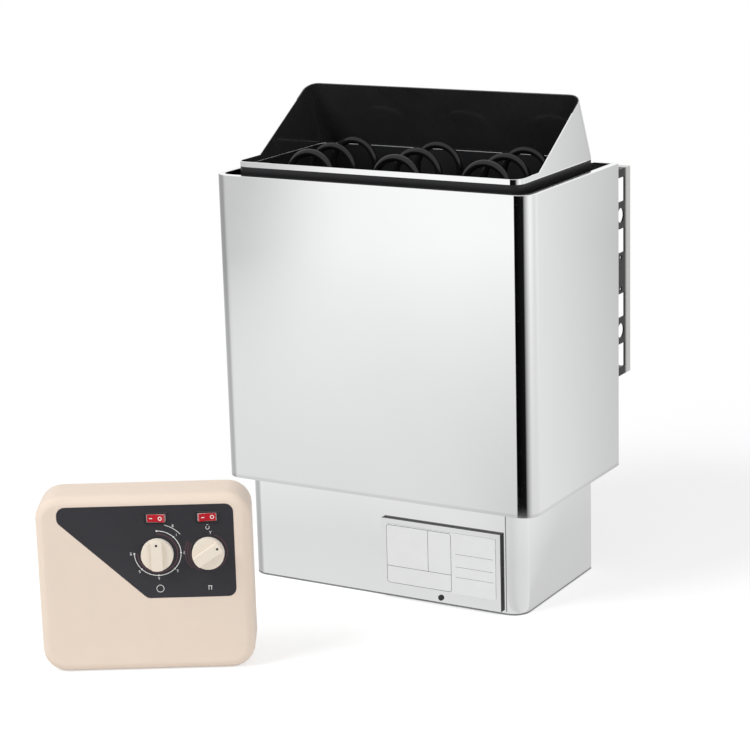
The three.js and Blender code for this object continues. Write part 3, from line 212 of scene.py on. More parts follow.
# Shader graphs
class Graph:
    """Adds nodes and links to a shader's node tree."""

    COLOR_MIX_INPUTS = ("0", "6", "7")
    COLOR_MIX_OUTPUT = 2

    def __init__(self, tree):
        self.tree = tree

    def add(self, kind, settings=None, **inputs):
        node = self.tree.nodes.new(kind)
        for name, value in (settings or {}).items():
            setattr(node, name, value)
        for name, value in inputs.items():
            self.set(node, name.replace("_", " "), value)
        return node

    def set(self, node, socket, value):
        target = node.inputs[int(socket)] if socket.isdigit() else node.inputs[socket]
        if isinstance(value, bpy.types.NodeSocket):
            self.tree.links.new(value, target)
        else:
            target.default_value = value

    def math(self, operation, first, second=0.0, third=0.0):
        node = self.add("ShaderNodeMath", {"operation": operation})
        for index, value in enumerate((first, second, third)):
            self.set(node, str(index), value)
        return node.outputs[0]

    def vector_math(self, operation, first, second=None):
        node = self.add("ShaderNodeVectorMath", {"operation": operation})
        self.set(node, "0", first)
        if second is not None:
            self.set(node, "1", second)
        return node

    def split(self, vector):
        return self.add("ShaderNodeSeparateXYZ", Vector=vector).outputs

    def noise(self, place, scale, detail=3.0):
        node = self.add("ShaderNodeTexNoise", Vector=place, Scale=scale, Detail=detail)
        return node.outputs["Fac"]

    def remap(self, value, low, high, to_low, to_high, smooth=False):
        kind = "SMOOTHSTEP" if smooth else "LINEAR"
        node = self.add("ShaderNodeMapRange", {"interpolation_type": kind}, Value=value)
        for index, number in enumerate((low, high, to_low, to_high), start=1):
            node.inputs[index].default_value = number
        return node.outputs["Result"]

    def mix(self, factor, first, second):
        node = self.add("ShaderNodeMix", {"data_type": "RGBA"})
        for socket, value in zip(self.COLOR_MIX_INPUTS, (factor, first, second)):
            self.set(node, socket, value)
        return node.outputs[self.COLOR_MIX_OUTPUT]

    def ramp(self, value, stops):
        node = self.add("ShaderNodeValToRGB", Fac=value)
        elements = node.color_ramp.elements
        while len(elements) < len(stops):
            elements.new(0.5)
        for element, (place, level) in zip(elements, stops):
            element.position = place
            element.color = grey(level)
        return node.outputs["Color"]

    def bump(self, height, strength, distance):
        node = self.add("ShaderNodeBump", Height=height, Strength=strength, Distance=distance)
        return node.outputs["Normal"]

    def join_shaders(self, first, second):
        node = self.add("ShaderNodeAddShader")
        self.set(node, "0", first.outputs[0])
        self.set(node, "1", second.outputs[0])
        return node

    def mix_shaders(self, factor, first, second):
        node = self.add("ShaderNodeMixShader", Fac=factor)
        self.set(node, "1", first.outputs[0])
        self.set(node, "2", second.outputs[0])
        return node


def rgb(red, green, blue):
    return (red, green, blue, 1.0)


def grey(level):
    return rgb(level, level, level)


def scaled(color, share):
    return rgb(*(min(c * share, 1) for c in color))


def new_material(name):
    material = bpy.data.materials.new(name)
    material.use_nodes = True
    graph = Graph(material.node_tree)
    surface = material.node_tree.nodes["Principled BSDF"]
    place = graph.add("ShaderNodeTexCoord").outputs["Object"]
    return material, graph, surface, place


def grained(name, color, spread, scale, roughness, metallic=0.0, bump=0.0, fine=900.0, coat=0.0):
    """A material with mottled colour, uneven gloss and a fine grain."""
    material, graph, surface, place = new_material(name)
    mottle = graph.noise(place, scale)
    graph.set(surface, "Base Color", graph.mix(mottle, scaled(color, 1 - spread), scaled(color, 1 + spread)))
    grain = graph.noise(place, fine, detail=2.0)
    gloss = graph.remap(
        grain, *NOISE_RANGE, roughness * (1 - GLOSS_SPREAD), roughness * (1 + GLOSS_SPREAD))
    graph.set(surface, "Roughness", gloss)
    surface.inputs["Metallic"].default_value = metallic
    surface.inputs["Coat Weight"].default_value = coat
    if bump:
        graph.set(surface, "Normal", graph.bump(grain, bump, GRAIN_DEPTH))
    return material


def inside_mask(graph):
    """1 on faces that look towards the upright axis through the casing's middle, where painted shade goes."""
    geometry = graph.add("ShaderNodeNewGeometry")
    flat = graph.vector_math("MULTIPLY", geometry.outputs["Position"], (1, 1, 0))
    outward = graph.vector_math("DOT_PRODUCT", flat.outputs[0], geometry.outputs["True Normal"])
    return graph.math("LESS_THAN", outward.outputs["Value"], INWARD_LIMIT)


def edge_mask(graph):
    """1 on faces that don't look to the front, where painted shade goes."""
    geometry = graph.add("ShaderNodeNewGeometry")
    normal = graph.split(geometry.outputs["True Normal"])
    return graph.math("GREATER_THAN", normal["Y"], FRONT_LIMIT)


def guard_mask(graph):
    """1 on the guard's inner faces and on its lower edge, where painted shade goes."""
    geometry = graph.add("ShaderNodeNewGeometry")
    place = graph.split(geometry.outputs["Position"])
    normal = graph.split(geometry.outputs["True Normal"])
    edge_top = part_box("steam_guard")[0].z + GUARD_LOWER_EDGE * MM
    low = graph.math("LESS_THAN", place["Z"], edge_top)
    down = graph.math("LESS_THAN", normal["Z"], DOWN_LIMIT)
    return graph.math("MAXIMUM", inside_mask(graph), graph.math("MULTIPLY", low, down))


def bend_dulling(graph):
    """The share of its brightness that the sheet keeps: painted shade on the left bend, none on the flats."""
    geometry = graph.add("ShaderNodeNewGeometry")
    left = graph.math("MULTIPLY", graph.split(geometry.outputs["Normal"])["X"], -1.0)
    begun = graph.remap(left, *BEND_BEGIN, 0.0, BEND_PAINTED_SHADE, smooth=True)
    ended = graph.remap(left, *BEND_FINISH, 1.0, 0.0, smooth=True)
    return graph.math("SUBTRACT", 1.0, graph.math("MULTIPLY", begun, ended))


def polished_steel(name, mask_maker, painted_shade_color, dark_roughness, dark_metal, painted_light_by_height=None):
    """Mirror-polished stainless sheet with faint waves and handling marks, and painted shade on the faces that
    its mask picks.

    Its last argument gives two heights and the share of its brightness that the sheet keeps at each of them:
    painted shade where the share is below 1, painted light where it is above 1.
    """
    material, graph, surface, place = new_material(name)
    cloud = graph.noise(place, scale=7.0, detail=4.0)
    bright = graph.mix(cloud, rgb(*STEEL_DULL), rgb(*STEEL_BRIGHT))
    # Painted shade and painted light set by height, with painted shade on the left bend
    if painted_light_by_height:
        height = graph.split(place)["Z"]
        share = graph.math("MULTIPLY", graph.remap(height, *painted_light_by_height), bend_dulling(graph))
        dimmed = graph.add("ShaderNodeVectorMath", {"operation": "SCALE"}, Vector=bright, Scale=share)
        bright = dimmed.outputs[0]
    smear = graph.noise(place, scale=55.0, detail=5.0)
    gloss = graph.remap(smear, *SMEAR_RANGE, *STEEL_GLOSS)
    # Painted shade: the faces that the mask picks take the dark colour, gloss and metal
    mask = mask_maker(graph)
    stain = graph.noise(place, scale=22.0, detail=4.0)
    shaded = graph.mix(stain, scaled(painted_shade_color, 1 - STAIN_SPREAD), scaled(painted_shade_color, 1 + STAIN_SPREAD))
    graph.set(surface, "Base Color", graph.mix(mask, bright, shaded))
    graph.set(surface, "Roughness", graph.math("MULTIPLY_ADD", mask, dark_roughness, gloss))
    graph.set(surface, "Metallic", graph.remap(mask, 0, 1, 1.0, dark_metal))
    wave = graph.noise(place, scale=9.0, detail=1.0)
    graph.set(surface, "Normal", graph.bump(wave, WAVE_STRENGTH, WAVE_DEPTH))
    return material


def galvanised(name, color, lip_highlight_color=None):
    """Dull zinc sheet with a spangle, with a painted highlight along the lip that lies on the wall if it has
    one.
    """
    material, graph, surface, place = new_material(name)
    cells = graph.add("ShaderNodeTexVoronoi", Vector=place, Scale=SPANGLE_SCALE).outputs["Color"]
    level = graph.add("ShaderNodeRGBToBW", Color=cells).outputs[0]
    spangle = graph.mix(level, scaled(color, SPANGLE_DARK), scaled(color, SPANGLE_LIGHT))
    # Painted highlight along the lip
    if lip_highlight_color:
        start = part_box("wall_bracket")[1].y - BRACKET_LIP * MM
        end = start + BRACKET_LIP_SOFT * MM
        lip = graph.remap(graph.split(place)["Y"], start, end, 0, 1, smooth=True)
        spangle = graph.mix(lip, spangle, rgb(*lip_highlight_color))
    graph.set(surface, "Base Color", spangle)
    graph.set(surface, "Roughness", graph.remap(level, 0.0, 1.0, *ZINC_GLOSS))
    surface.inputs["Metallic"].default_value = ZINC_METAL
    return material


# Materials
hem_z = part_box("outer_casing")[0].z
# The casing's lowest few millimetres are darker: painted shade along the hem
CASING_STEEL = polished_steel(
    "casing_steel", inside_mask, SHADED_SHEET, dark_roughness=0.25, dark_metal=1.0,
    painted_light_by_height=(hem_z + HEM_SHADE_LOW * MM, hem_z + HEM_SHADE_HIGH * MM, HEM_PAINTED_SHADE, 1.0))
# The base grows brighter towards its top as painted light, with painted shade on its inner faces
BASE_STEEL = polished_steel(
    "base_steel", inside_mask, SHADED_SHEET, dark_roughness=0.25, dark_metal=1.0,
    painted_light_by_height=(hem_z / 2, hem_z, 1.0, BASE_PAINTED_LIGHT))
# Painted shade on the guard's inner faces and lower edge
GUARD_STEEL = polished_steel(
    "guard_steel", guard_mask, (0.15, 0.15, 0.153), dark_roughness=0.035, dark_metal=0.85)
# Painted shade on the cover's edge faces
COVER_STEEL = polished_steel(
    "cover_steel", edge_mask, (0.012, 0.012, 0.012), dark_roughness=0.35, dark_metal=0.3)
DARK_STEEL = grained(
    "dark_steel", (0.026, 0.026, 0.028), spread=0.3, scale=12, roughness=0.34, metallic=0.5, bump=0.05)
ELEMENT = grained(
    "element_oxide", (0.014, 0.0135, 0.0135), spread=0.4, scale=40, roughness=0.18, metallic=0.5, bump=0.05,
    coat=0.1)
ZINC = galvanised("galvanised", (0.3, 0.31, 0.315))
# The bracket's dark zinc colour is painted shade, and its pale lip a painted highlight
SHADED_BRACKET = galvanised("bracket_zinc", (0.05, 0.051, 0.049), lip_highlight_color=(0.7, 0.705, 0.69))
PLAIN_STEEL = grained(
    "plain_steel", (0.62, 0.63, 0.64), spread=0.06, scale=300, roughness=0.3, metallic=1.0, bump=0.03)
BRASS = grained("brass", (0.62, 0.43, 0.16), spread=0.1, scale=120, roughness=0.32, metallic=1.0, bump=0.03)
CERAMIC = grained("ceramic", (0.8, 0.78, 0.72), spread=0.05, scale=90, roughness=0.45, bump=0.06)
LABEL = grained(
    "label_film", (0.8, 0.805, 0.81), spread=0.03, scale=60, roughness=0.34, metallic=0.35, bump=0.02)
BEIGE = grained(
    "beige_plastic", (0.785, 0.66, 0.555), spread=0.025, scale=45, roughness=0.46, bump=0.10, fine=1500.0)
CREAM = grained(
    "cream_plastic", (0.82, 0.735, 0.625), spread=0.02, scale=60, roughness=0.36, bump=0.03, fine=1200.0)
FASCIA = grained(
    "fascia_film", (0.032, 0.031, 0.037), spread=0.12, scale=40, roughness=0.42, bump=0.06, fine=1800.0)
BLACK = grained("black_plastic", (0.012, 0.012, 0.013), spread=0.2, scale=80, roughness=0.42, bump=0.06)
RED = grained(
    "red_plastic", (0.50, 0.012, 0.022), spread=0.12, scale=220, roughness=0.22, bump=0.02, fine=700.0,
    coat=0.5)
WHITE = grained("white_plastic", (0.78, 0.77, 0.72), spread=0.03, scale=60, roughness=0.42, bump=0.05)
BROWN_WIRE = grained("brown_wire", (0.10, 0.045, 0.02), spread=0.1, scale=200, roughness=0.45, bump=0.05)
BLUE_WIRE = grained("blue_wire", (0.03, 0.08, 0.28), spread=0.1, scale=200, roughness=0.45, bump=0.05)
PRINT = grained("white_print", (0.82, 0.82, 0.8), spread=0.05, scale=500, roughness=0.5)
RED_PRINT = grained("red_print", (0.13, 0.055, 0.07), spread=0.1, scale=500, roughness=0.5)
# Painted shadow line on the base's seam
SEAM_SHADOW = grained("seam_shadow", (0.3, 0.3, 0.305), spread=0.15, scale=300, roughness=0.4, metallic=0.6)
LINE = grained("dark_print", (0.08, 0.08, 0.085), spread=0.15, scale=500, roughness=0.5)

# The material of each CAD node: by its name, else by its ending, else by its beginning, else zinc
NAMED = {
    "outer_casing": CASING_STEEL, "base_box": BASE_STEEL, "terminal_cover": COVER_STEEL,
    "steam_guard": GUARD_STEEL, "stone_compartment": DARK_STEEL, "stone_grate": DARK_STEEL,
    "wall_bracket": SHADED_BRACKET, "rating_plate": LABEL, "cover_screw": DARK_STEEL, "neutral_bar": BRASS,
    "earth_stud": BRASS, "terminal_block": CERAMIC, "neutral_wire": BLUE_WIRE, "cable_gland": BLACK,
    "control_grommet": BLACK, "control_cover": BEIGE, "control_back": BEIGE, "control_fascia": FASCIA,
}
ENDINGS = {
    "_knob": CREAM, "_rocker": RED, "_switch": BLACK, "_shaft": PLAIN_STEEL,
    "_screw_left": PLAIN_STEEL, "_screw_right": PLAIN_STEEL,
}
BEGINNINGS = {
    "heating_element": ELEMENT, "element_bush": BRASS, "element_terminal": CERAMIC,
    "phase_wire": BROWN_WIRE, CONTROL_PREFIX: WHITE,
}


def material_for(name):
    if name in NAMED:
        return NAMED[name]
    for ending, material in ENDINGS.items():
        if name.endswith(ending):
            return material
    for beginning, material in BEGINNINGS.items():
        if name.startswith(beginning):
            return material
    return ZINC


# The CAD nodes: materials, softened edges and smooth bends
for name, piece in nodes.items():
    mesh = piece.data
    mesh.materials.clear()
    mesh.materials.append(material_for(name))
    if "custom_normal" in mesh.attributes:
        mesh.attributes.remove(mesh.attributes["custom_normal"])
    for face in mesh.polygons:
        face.use_smooth = True
    weld = piece.modifiers.new("weld", "WELD")
    weld.merge_threshold = WELD_DISTANCE * MM
    flat = piece.modifiers.new("flat", "DECIMATE")
    flat.decimate_type = "DISSOLVE"
    flat.angle_limit = math.radians(FLAT_ANGLE)
    width, limit = EDGES.get(name, OTHER_EDGES)
    edge = piece.modifiers.new("edge", "BEVEL")
    edge.width = width * MM
    edge.segments = EDGE_SEGMENTS
    edge.limit_method = "ANGLE"
    edge.angle_limit = math.radians(limit)
    edge.harden_normals = True
    normals = piece.modifiers.new("normals", "WEIGHTED_NORMAL")
    normals.keep_sharp = True
    normals.weight = FACE_WEIGHT


# Modelled pieces
def add_piece(name, mesh, material, body):
    piece = bpy.data.objects.new(name, mesh)
    bpy.context.scene.collection.objects.link(piece)
    mesh.materials.append(material)
    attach(piece, body)
    return piece


def sweep(points, radius, sides):
    """A closed round tube along points, as a mesh."""
    mesh = bpy.data.meshes.new("tube")
    build = bmesh.new()
    tangents = []
    for i in range(len(points)):
        before = points[max(i - 1, 0)]
        after = points[min(i + 1, len(points) - 1)]
        tangents.append((after - before).normalized())
    across = Vector((0, 1, 0)).cross(tangents[0]).normalized()
    rings = []
    for i, (point, tangent) in enumerate(zip(points, tangents)):
        if i:
            across = tangents[i - 1].rotation_difference(tangent) @ across
        other = tangent.cross(across)
        ring = []
        for k in range(sides):
            angle = math.tau * k / sides
            outward = across * math.cos(angle) + other * math.sin(angle)
            ring.append(build.verts.new(point + radius * outward))
        rings.append(ring)
    for first, second in zip(rings, rings[1:]):
        for k in range(sides):
            following = (k + 1) % sides
            build.faces.new((first[k], first[following], second[following], second[k]))
    build.faces.new(reversed(rings[0]))
    build.faces.new(rings[-1])
    bmesh.ops.recalc_face_normals(build, faces=build.faces)
    for face in build.faces:
        face.smooth = len(face.verts) == 4
    build.to_mesh(mesh)
    build.free()
    return mesh


def element_route(low, high, foot_z):
    """The middle line of an element of three loops that fills the box from low to high."""
    x = (low.x + high.x) / 2
    bend = (high.x - low.x) / 2 - TUBE_RADIUS * MM
    near = low.y + TUBE_RADIUS * MM
    far = high.y - TUBE_RADIUS * MM
    middle = (near + far) / 2
    foot = (middle - near) / 2
    crown_z = high.z - TUBE_RADIUS * MM - bend
    points = [Vector((x - bend, near, low.z))]

    def crown(y, direction):
        for i in range(CROWN_STEPS + 1):
            angle = math.pi * i / CROWN_STEPS
            sideways = -direction * bend * math.cos(angle)
            points.append(Vector((x + sideways, y, crown_z + bend * math.sin(angle))))

    def low_bend(sideways, start):
        for i in range(FOOT_STEPS + 1):
            angle = math.pi * i / FOOT_STEPS
            y = start + foot - foot * math.cos(angle)
            points.append(Vector((x + sideways, y, foot_z - foot * math.sin(angle))))

    crown(near, 1)
    low_bend(bend, near)
    crown(middle, -1)
    low_bend(-bend, middle)
    crown(far, 1)
    points.append(Vector((x + bend, far, low.z)))
    return points


foot_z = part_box("stone_grate")[1].z - GRATE_BAR_HEIGHT * MM
for column in ("left", "centre", "right"):
    low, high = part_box(f"heating_element_{column}")
    mesh = sweep(element_route(low, high, foot_z), TUBE_RADIUS * MM, TUBE_SIDES)
    tube = add_piece(f"element_tube_{column}", mesh, ELEMENT, ROOT)
    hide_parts(f"heating_element_{column}")

# Flat marks, drawn in a plane in millimetres: x to the right, z up, y back.
# On the control unit the plane is its front, with the origin at a joint.
joints = {joint["name"]: joint for joint in frame["joints"]}
up = Vector((0, 0, 1))
inwards = Vector(joints["timer_turn"]["axis"])


def front_plane(joint):
    """The control unit's front plane with its origin at a joint."""
    matrix = Matrix((inwards.cross(up), inwards, up)).transposed().to_4x4()
    matrix.translation = joints[joint]["pos_m"]
    return matrix


def at_clock(radius, angle, x=0, z=0):
    """The point at an angle in degrees clockwise from 12 o'clock."""
    a = math.radians(angle)
    return x + radius * math.sin(a), z + radius * math.cos(a)


class Marks:
    """Thin raised marks gathered into one mesh."""

    def __init__(self, thickness=MARK_THICKNESS):
        self.build = bmesh.new()
        self.thickness = thickness

    def outline(self, points):
        front = [self.build.verts.new((x, -self.thickness, z)) for x, z in points]
        rear = [self.build.verts.new((x, 0, z)) for x, z in points]
        self.build.faces.new(front)
        self.build.faces.new(list(reversed(rear)))
        count = len(points)
        for i in range(count):
            j = (i + 1) % count
            self.build.faces.new((front[j], front[i], rear[i], rear[j]))

    def arc(self, radius, width, start, end, steps, x=0, z=0):
        """A band from one clock angle to another."""
        angles = [start + (end - start) * i / steps for i in range(steps + 1)]
        outer = [at_clock(radius + width / 2, angle, x, z) for angle in angles]
        inner = [at_clock(radius - width / 2, angle, x, z) for angle in angles]
        for i in range(steps):
            self.outline([outer[i], outer[i + 1], inner[i + 1], inner[i]])

    def dot(self, x, z, radius, sides=16):
        turns = [math.tau * i / sides for i in range(sides)]
        self.outline([(x + radius * math.cos(a), z + radius * math.sin(a)) for a in turns])

    def bar(self, x, z, length, width, angle=0.0):
        a = math.radians(angle)
        along = Vector((math.cos(a), math.sin(a))) * length / 2
        side = Vector((-math.sin(a), math.cos(a))) * width / 2
        middle = Vector((x, z))
        corners = ((-1, -1), (1, -1), (1, 1), (-1, 1))
        self.outline([tuple(middle + s * along + t * side) for s, t in corners])

    def rounded_frame(self, left, right, low, high, corner, width):
        """Four rules joined by quarter rounds."""
        middle_x = (left + right) / 2
        middle_z = (low + high) / 2
        sides = ((left, left + corner, 270, 180), (right, right - corner, 0, 90))
        for x, centre, upper_start, lower_start in sides:
            self.bar(x, middle_z, high - low - 2 * corner, width, 90)
            for z, start in ((high - corner, upper_start), (low + corner, lower_start)):
                self.arc(corner, width, start, start + 90, CORNER_STEPS, centre, z)
        for z in (low, high):
            self.bar(middle_x, z, right - left - 2 * corner, width)

    def mesh(self, name, matrix):
        mesh = bpy.data.meshes.new(name)
        bmesh.ops.recalc_face_normals(self.build, faces=self.build.faces)
        for vert in self.build.verts:
            vert.co = matrix @ (vert.co * MM)
        self.build.to_mesh(mesh)
        self.build.free()
        return mesh


# Dial numbers made of short bars: x and z of each bar in halves of the number's height, and its angle
SEGMENTS = {
    "a": (0, 1, 0), "b": (0.5, 0.5, 90), "c": (0.5, -0.5, 90), "d": (0, -1, 0),
    "e": (-0.5, -0.5, 90), "f": (-0.5, 0.5, 90), "g": (0, 0, 0),
}
DIGITS = {1: "bc", 2: "abged", 3: "abgcd", 4: "fgbc", 5: "afgcd", 6: "afgedc", 8: "abcdefg"}


def write_digit(marks, digit, x, z):
    half = NUMBER_HEIGHT / 2
    for segment in DIGITS[digit]:
        dx, dz, angle = SEGMENTS[segment]
        marks.bar(x + dx * half, z + dz * half, half, NUMBER_WEIGHT, angle)


# The timer's scale with its numbers, the short outer scale, and the clock sign below
timer_marks = Marks()
timer_marks.arc(SCALE_RADIUS, width=0.75, start=0, end=SCALE_SWEEP, steps=72)
timer_marks.arc(OUTER_SCALE_RADIUS, width=0.6, start=15, end=50, steps=16)
for number in range(SCALE_LAST_NUMBER + 1):
    timer_marks.dot(*at_clock(SCALE_RADIUS, SCALE_STEP * number), radius=1.0)
    if number:
        write_digit(timer_marks, number, *at_clock(SCALE_NUMBER_RADIUS, SCALE_STEP * number))
write_digit(timer_marks, 8, *at_clock(OUTER_NUMBER_RADIUS, OUTER_NUMBER_ANGLE))
timer_marks.arc(radius=3.9, width=0.55, start=20, end=340, steps=24, x=1, z=-40)
timer_marks.bar(x=1, z=-36, length=2.6, width=0.6)

# The signs over the thermostat, a ring with a bar and a fork, and the arch below
thermostat_marks = Marks()
thermostat_marks.arc(radius=1.9, width=0.5, start=30, end=330, steps=18, z=27.5)
thermostat_marks.bar(x=0, z=30.6, length=2.2, width=0.5)
thermostat_marks.bar(x=2.2, z=22.6, length=2.2, width=0.45, angle=120)
thermostat_marks.bar(x=3.4, z=22.6, length=2.2, width=0.45, angle=60)
thermostat_marks.bar(x=2.8, z=21, length=1.8, width=0.45, angle=90)
thermostat_marks.bar(x=-1.4, z=-40.6, length=4.2, width=0.6, angle=90)
thermostat_marks.bar(x=1.4, z=-40.6, length=4.2, width=0.6, angle=90)
thermostat_marks.bar(x=0, z=-38.3, length=4.4, width=0.6)

# The red rings round both knobs
timer_rings = Marks()
timer_rings.arc(radius=21.5, width=0.9, start=0, end=SCALE_SWEEP, steps=60)
thermostat_rings = Marks()
thermostat_rings.arc(radius=20, width=0.7, start=20, end=RINGS_END, steps=60)
thermostat_rings.arc(radius=22.6, width=0.7, start=205, end=RINGS_END, steps=24)
thermostat_rings.arc(radius=25.2, width=0.7, start=225, end=RINGS_END, steps=20)

for name, marks, joint, material, slot in (
    ("control_timer_scale", timer_marks, "timer_turn", PRINT, "white_plastic"),
    ("control_thermostat_scale", thermostat_marks, "thermostat_turn", PRINT, "white_plastic"),
    ("control_timer_rings", timer_rings, "timer_turn", RED_PRINT, "red_plastic"),
    ("control_thermostat_rings", thermostat_rings, "thermostat_turn", RED_PRINT, "red_plastic"),
):
    add_piece(name, marks.mesh(name, front_plane(joint)), material, ROOT)

# The pointer dot in its recess on each knob
for dial, rest in (("timer", 0), ("thermostat", THERMOSTAT_REST)):
    dot = Marks(DOT_RECESS - DOT_BELOW_FACE)
    dot.dot(0, DOT_PLACE, DOT_RADIUS, DOT_SIDES)
    place = (
        front_plane(f"{dial}_turn")
        @ Matrix.Translation(Vector((0, DOT_RECESS - KNOB_REACH, 0)) * MM)
        @ Matrix.Rotation(math.radians(rest), 4, "Y")
    )
    name = f"control_{dial}_pointer_dot"
    add_piece(name, dot.mesh(name, place), BLACK, f"{dial}_dial")

# The on and off marks on the two slopes of each rocker
for switch, rest in (("heater", -ROCKER_TILT), ("light", ROCKER_TILT)):
    valley = (
        front_plane(f"{switch}_switch")
        @ Matrix.Rotation(math.radians(rest), 4, "Z")
        @ Matrix.Translation(Vector((0, -ROCKER_VALLEY, 0)) * MM)
    )
    on_mark = Marks()
    on_mark.bar(-ROCKER_MARK_PLACE, 0, length=3.4, width=1.0)
    off_mark = Marks()
    off_mark.arc(radius=1.8, width=0.8, start=0, end=360, steps=24, x=ROCKER_MARK_PLACE)
    for side, mark, tilt in (("on", on_mark, ROCKER_TILT), ("off", off_mark, -ROCKER_TILT)):
        place = valley @ Matrix.Rotation(math.radians(tilt), 4, "Z")
        name = f"control_{switch}_{side}_mark"
        add_piece(name, mark.mesh(name, place), PRINT, f"{switch}_rocker")

# Plain ruled cells on the blank rating plate: a divided frame on the left and a list on the right
low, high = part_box("rating_plate")
width = (high.x - low.x) / MM
height = (high.z - low.z) / MM
frame_right = width * FRAME_WIDTH_SHARE
frame_high = height - PLATE_MARGIN
divider_z = height * DIVIDER_HEIGHT_SHARE
rules = Marks()
rules.rounded_frame(PLATE_MARGIN, frame_right, PLATE_MARGIN, frame_high, FRAME_CORNER, RULE_WIDTH)
rules.bar((PLATE_MARGIN + frame_right) / 2, divider_z, frame_right - PLATE_MARGIN, RULE_WIDTH)
rules.bar(
    width * DIVIDER_PLACE_SHARE, (divider_z + frame_high) / 2, frame_high - divider_z, RULE_WIDTH, angle=90)
for share in LIST_HEIGHT_SHARES:
    rules.bar(width * LIST_PLACE_SHARE, height * share, width * LIST_LENGTH_SHARE, LIST_RULE_WIDTH)
plate_place = Matrix.Translation(Vector((low.x, low.y, low.z)))
add_piece("rating_plate_rules", rules.mesh("rating_plate_rules", plate_place), LINE, ROOT)

# A painted shadow line along the seam where the base's front panel meets its right bend
low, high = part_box("base_box")
seam_shadow_line = Marks()
seam_shadow_line.bar(0, hem_z / MM / 2, hem_z / MM - 2 * SEAM_END, SEAM_WIDTH, angle=90)
seam_shadow_place = Matrix.Translation(Vector((high.x - BASE_BEND * MM, low.y, 0)))
add_piece("base_seam", seam_shadow_line.mesh("base_seam", seam_shadow_place), SEAM_SHADOW, ROOT)


# Stage: floor, world, lamps and camera
def mirrored_floor(graph, place):
    """The floor's colour as polished steel sees it."""
    low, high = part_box("outer_casing")
    corner = (high.x - CASING_BEND * MM, low.y + CASING_BEND * MM, 0)
    offset = graph.vector_math("SUBTRACT", place, corner).outputs[0]
    reach = graph.vector_math("LENGTH", offset).outputs["Value"]
    across = graph.split(offset)
    toward = graph.math("MULTIPLY", across["Y"], -1.0)
    azimuth = graph.math("ARCTAN2", across["X"], toward)
    turn = graph.math("MULTIPLY_ADD", azimuth, 1 / math.tau, STRAIGHT_AHEAD)
    near, far, shade = (
        graph.ramp(turn, [((angle + 180) / 360, level) for angle, level in stops])
        for stops in (NEAR_STOPS, FAR_STOPS, SHADE_STOPS)
    )
    farness = graph.remap(reach, NEAR_REACH, FAR_REACH, 0, 1)
    edge = math.radians(LEFT_TURN)
    leftwards = graph.vector_math("DOT_PRODUCT", offset, (-math.cos(edge), math.sin(edge), 0))
    left = graph.remap(leftwards.outputs["Value"], LEFT_START, LEFT_END, 0, LEFT_SHADE, smooth=True)
    left_shade = graph.math("MULTIPLY", left, graph.math("POWER", farness, LEFT_FALLOFF))
    left_shade = graph.math("MULTIPLY", left_shade, graph.math("LESS_THAN", turn, STRAIGHT_AHEAD))
    spread = graph.mix(left_shade, graph.mix(farness, near, far), grey(0))
    beyond = graph.math("GREATER_THAN", reach, SHADE_REACH)
    return graph.mix(graph.math("MULTIPLY", shade, beyond), spread, grey(0))


def build_floor():
    """A floor that is white to the camera with a soft shadow, matt to the light and patterned to the steel."""
    mesh = bpy.data.meshes.new("floor")
    build = bmesh.new()
    bmesh.ops.create_grid(build, x_segments=1, y_segments=1, size=FLOOR_SIZE)
    build.to_mesh(mesh)
    build.free()
    floor = bpy.data.objects.new("floor", mesh)
    bpy.context.scene.collection.objects.link(floor)
    material = bpy.data.materials.new("floor")
    material.use_nodes = True
    tree = material.node_tree
    tree.nodes.clear()
    graph = Graph(tree)
    path = graph.add("ShaderNodeLightPath")
    place = graph.add("ShaderNodeNewGeometry").outputs["Position"]
    glow = graph.add("ShaderNodeEmission", Color=mirrored_floor(graph, place))
    matt = graph.add("ShaderNodeBsdfDiffuse", Color=grey(FLOOR_MATT))
    shadowed = graph.add("ShaderNodeBsdfDiffuse", Color=grey(FLOOR_CLOSE))
    pale = graph.add("ShaderNodeEmission", Color=grey(FLOOR_CLOSE))
    white = graph.add("ShaderNodeEmission", Color=grey(1))
    away = graph.vector_math("LENGTH", place).outputs["Value"]
    fade = graph.remap(away, SHADOW_REACH / 2, SHADOW_REACH, 0, 1, smooth=True)
    seen = graph.mix_shaders(fade, graph.join_shaders(shadowed, pale), white)
    for_camera = graph.mix_shaders(path.outputs["Is Camera Ray"], matt, seen)
    for_metal = graph.mix_shaders(path.outputs["Is Glossy Ray"], for_camera, glow)
    graph.add("ShaderNodeOutputMaterial", Surface=for_metal.outputs[0])
    mesh.materials.append(material)


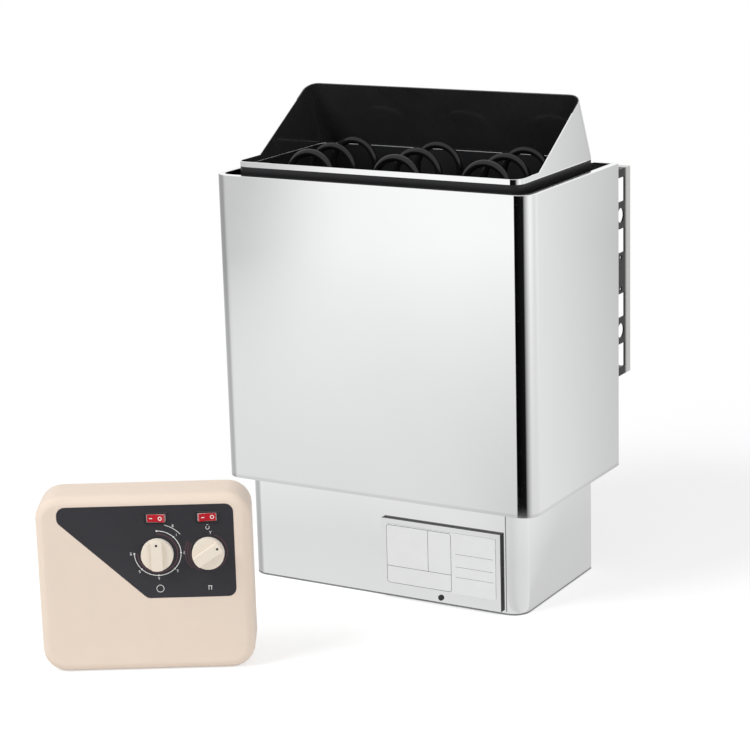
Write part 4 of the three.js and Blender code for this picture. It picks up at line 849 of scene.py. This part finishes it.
def build_world():
    """White to the camera and to the steel, and a softer light on everything else."""
    world = bpy.data.worlds.new("studio")
    bpy.context.scene.world = world
    world.use_nodes = True
    background = world.node_tree.nodes["Background"]
    graph = Graph(world.node_tree)
    path = graph.add("ShaderNodeLightPath")
    shown = graph.math("MAXIMUM", path.outputs["Is Camera Ray"], path.outputs["Is Glossy Ray"])
    graph.set(background, "Strength", graph.remap(shown, 0, 1, WORLD_LIGHT, WORLD_SEEN))
    background.inputs["Color"].default_value = grey(1)


def add_lamp(name, place, size, power):
    data = bpy.data.lights.new(name, "AREA")
    data.shape = "RECTANGLE"
    data.size = data.size_y = size
    data.energy = power
    lamp = bpy.data.objects.new(name, data)
    lamp.location = place
    lamp.rotation_euler = (Vector(LAMP_TARGET) - Vector(place)).to_track_quat("-Z", "Y").to_euler()
    lamp.visible_glossy = False
    bpy.context.scene.collection.objects.link(lamp)


def build_camera():
    azimuth = math.radians(CAMERA_AZIMUTH)
    elevation = math.radians(CAMERA_ELEVATION)
    roll = math.radians(CAMERA_ROLL)
    level = math.cos(elevation)
    back = Vector((math.sin(azimuth) * level, -math.cos(azimuth) * level, math.sin(elevation)))
    right = (-back).cross(Vector((0, 0, 1))).normalized()
    above = right.cross(-back)
    turned_right = right * math.cos(roll) + above * math.sin(roll)
    turned_up = above * math.cos(roll) - right * math.sin(roll)
    matrix = Matrix((turned_right, turned_up, back)).transposed().to_4x4()
    matrix.translation = CAMERA_PLACE
    data = bpy.data.cameras.new("camera")
    data.lens = CAMERA_LENS
    data.sensor_width = CAMERA_SENSOR
    data.clip_end = CAMERA_CLIP_END
    camera = bpy.data.objects.new("camera", data)
    camera.matrix_world = matrix
    bpy.context.scene.collection.objects.link(camera)
    bpy.context.scene.camera = camera


# The unit stands beside the stove for the photograph, and the stove's polish doesn't mirror it
for piece in bpy.context.scene.objects:
    piece.visible_glossy = not piece.name.startswith(CONTROL_PREFIX)

build_floor()
build_world()
for name, lamp in LAMPS.items():
    add_lamp(name, **lamp)
build_camera()
bpy.context.scene.view_settings.view_transform = "Standard"
